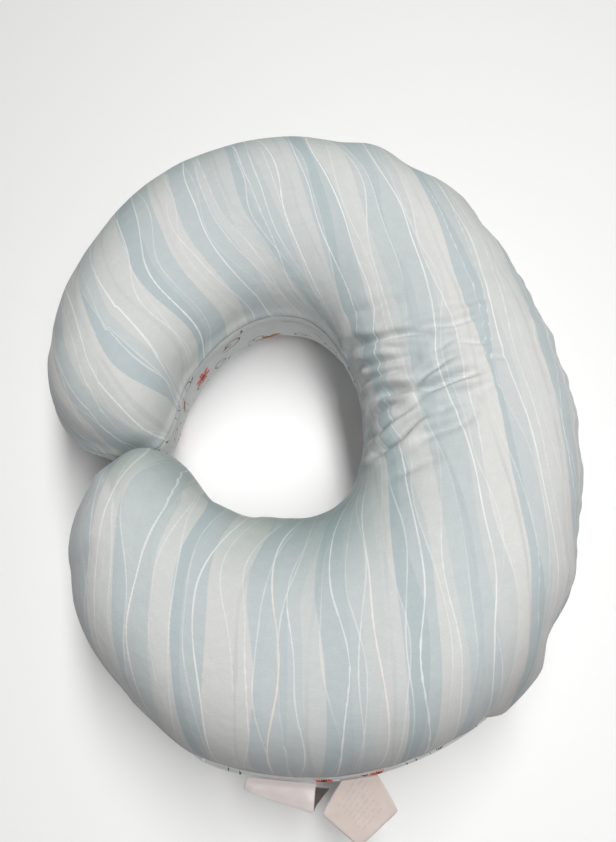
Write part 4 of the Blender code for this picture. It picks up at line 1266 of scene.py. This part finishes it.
def ply(name, corners, lift, seed, body_node):
    """A four-sided ply given by its corners (out, along); what lies inside the
    seam is cut off."""
    c = np.array(corners, float)
    n = 31
    a, b = np.meshgrid(np.linspace(0, 1, n), np.linspace(0, 1, n), indexing="ij")
    # rounded corners
    ra, rb = 2 * a - 1, 2 * b - 1
    pinch = 1 - 0.035 * (ra * rb) ** 8
    a, b = 0.5 + 0.5 * ra * pinch, 0.5 + 0.5 * rb * pinch
    q = ((1 - a) * (1 - b))[..., None] * c[0] + (a * (1 - b))[..., None] * c[1] + (a * b)[..., None] * c[2] + ((1 - a) * b)[..., None] * c[3]
    O, A = q[..., 0], q[..., 1]
    N = lift + 0.55 * noise2(O / 16.0, A / 16.0, seed) * smooth(O, 3, 16) + 0.25 * noise2(O / 6.0, A / 6.0, seed + 1) * smooth(O, 3, 16)
    N = N - 1.2 * smooth(O, 30, 48) + 0.9 * smooth(np.abs(A - 2), 18, 30) + 0.5 * (1 - smooth(O, -0.6, 5.0)) + 0.4
    grid = base + (out * O[..., None] + along * A[..., None] + nrm * N[..., None]) * MM
    uv = np.stack([(a - 0.5) * 51 * MM, (b - 0.5) * 36 * MM], -1)
    ob = sheet_object(name, grid, uv, 0.18 * MM, MAT["woven"])
    bm = bmesh.new()
    bm.from_mesh(ob.data)
    plane = base - out * 0.5 * MM
    bmesh.ops.bisect_plane(bm, geom=bm.verts[:] + bm.edges[:] + bm.faces[:], plane_co=Vector(plane), plane_no=Vector(out), clear_inner=True)
    total = sum(f.calc_area() for f in bm.faces)
    bm.to_mesh(ob.data)
    bm.free()
    ob.data.shade_smooth()
    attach(ob, "woven_label")
    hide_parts(body_node)
    return ob, total


# left corner, outer (bottom) corner, right corner, inner corner
ply_a, area_a = ply("woven_label_face", [(18.5, -25.0), (-20, 7.5), (24.5, 25.5), (44, -3.5)], 0.25, 71, "care_label_woven")
ply_b, area_b = ply("woven_label_under", [(19.5, -23.5), (-21, 8.5), (26.5, 24), (42.5, -2.5)], -0.75, 81, "care_label_woven_ply")


# ------------------------------------------------------ floor, light, camera
def stage():
    size = 3.0
    ob = new_object("floor", [(-size, -size, 0), (size, -size, 0), (size, size, 0), (-size, size, 0)], [(0, 1, 2, 3)], False)
    g = Graph("floor_pale")
    n = g.noise(g.node("ShaderNodeTexCoord").outputs["Object"], 3.0, 2.0)
    g.set(Base_Color=g.mix(n, (0.955, 0.955, 0.955), (0.965, 0.965, 0.965)), Roughness=0.9, Specular_IOR_Level=0.1)
    ob.data.materials.append(g.mat)


def area(name, place, target, size, power, colour, wide=0.0):
    data = bpy.data.lights.new(name, "AREA")
    data.shape, data.size, data.energy, data.color = ("RECTANGLE" if wide else "DISK"), size, power, colour
    if wide:
        data.size_y = wide
    ob = bpy.data.objects.new(name, data)
    ob.location = place
    ob.rotation_mode = "QUATERNION"
    ob.rotation_quaternion = (Vector(target) - Vector(place)).to_track_quat("-Z", "Y")
    bpy.context.scene.collection.objects.link(ob)


def camera():
    a, e, dist, roll = -0.1264, 1.2055, 0.5588, -0.0409
    target = Vector((-0.0026 - 0.000367, 0.0024 + 0.022438, 0.07))
    backv = Vector((math.sin(a) * math.cos(e), -math.cos(a) * math.cos(e), math.sin(e)))
    right = Vector((math.cos(a), math.sin(a), 0))
    up = backv.cross(right)
    r = right * math.cos(roll) + up * math.sin(roll)
    u = -right * math.sin(roll) + up * math.cos(roll)
    cam = bpy.data.cameras.new("photo_view")
    cam.lens, cam.sensor_width, cam.sensor_fit = 703.93 / 842 * 36.0, 36.0, "AUTO"
    cam.clip_start, cam.clip_end = 0.01, 20
    ob = bpy.data.objects.new("photo_view", cam)
    m = Matrix((r, u, backv)).transposed().to_4x4()
    m.translation = target + backv * dist
    ob.matrix_world = m
    bpy.context.scene.collection.objects.link(ob)
    bpy.context.scene.camera = ob


def light():
    world = bpy.data.worlds.new("studio")
    world.use_nodes = True
    bg = world.node_tree.nodes["Background"]
    bg.inputs[0].default_value = (0.97, 0.985, 1.0, 1)
    bg.inputs[1].default_value = 0.03
    bpy.context.scene.world = world
    area("key", (0.30, -0.02, 1.75), (0.0, -0.02, 0.08), 2.2, 36.0, (1.0, 0.998, 0.99), 0.35)
    area("front_fill", (0.1, -1.3, 0.35), (0, 0, 0.06), 0.8, 0.45, (1.0, 0.93, 0.91))
    area("back_fill", (-0.3, 1.3, 0.35), (0, 0, 0.06), 0.8, 0.20, (0.95, 1.0, 0.88))
    scene = bpy.context.scene
    scene.view_settings.view_transform = "Standard"
    scene.view_settings.look = "None"
    scene.view_settings.exposure = 0.0


stage()
light()
camera()
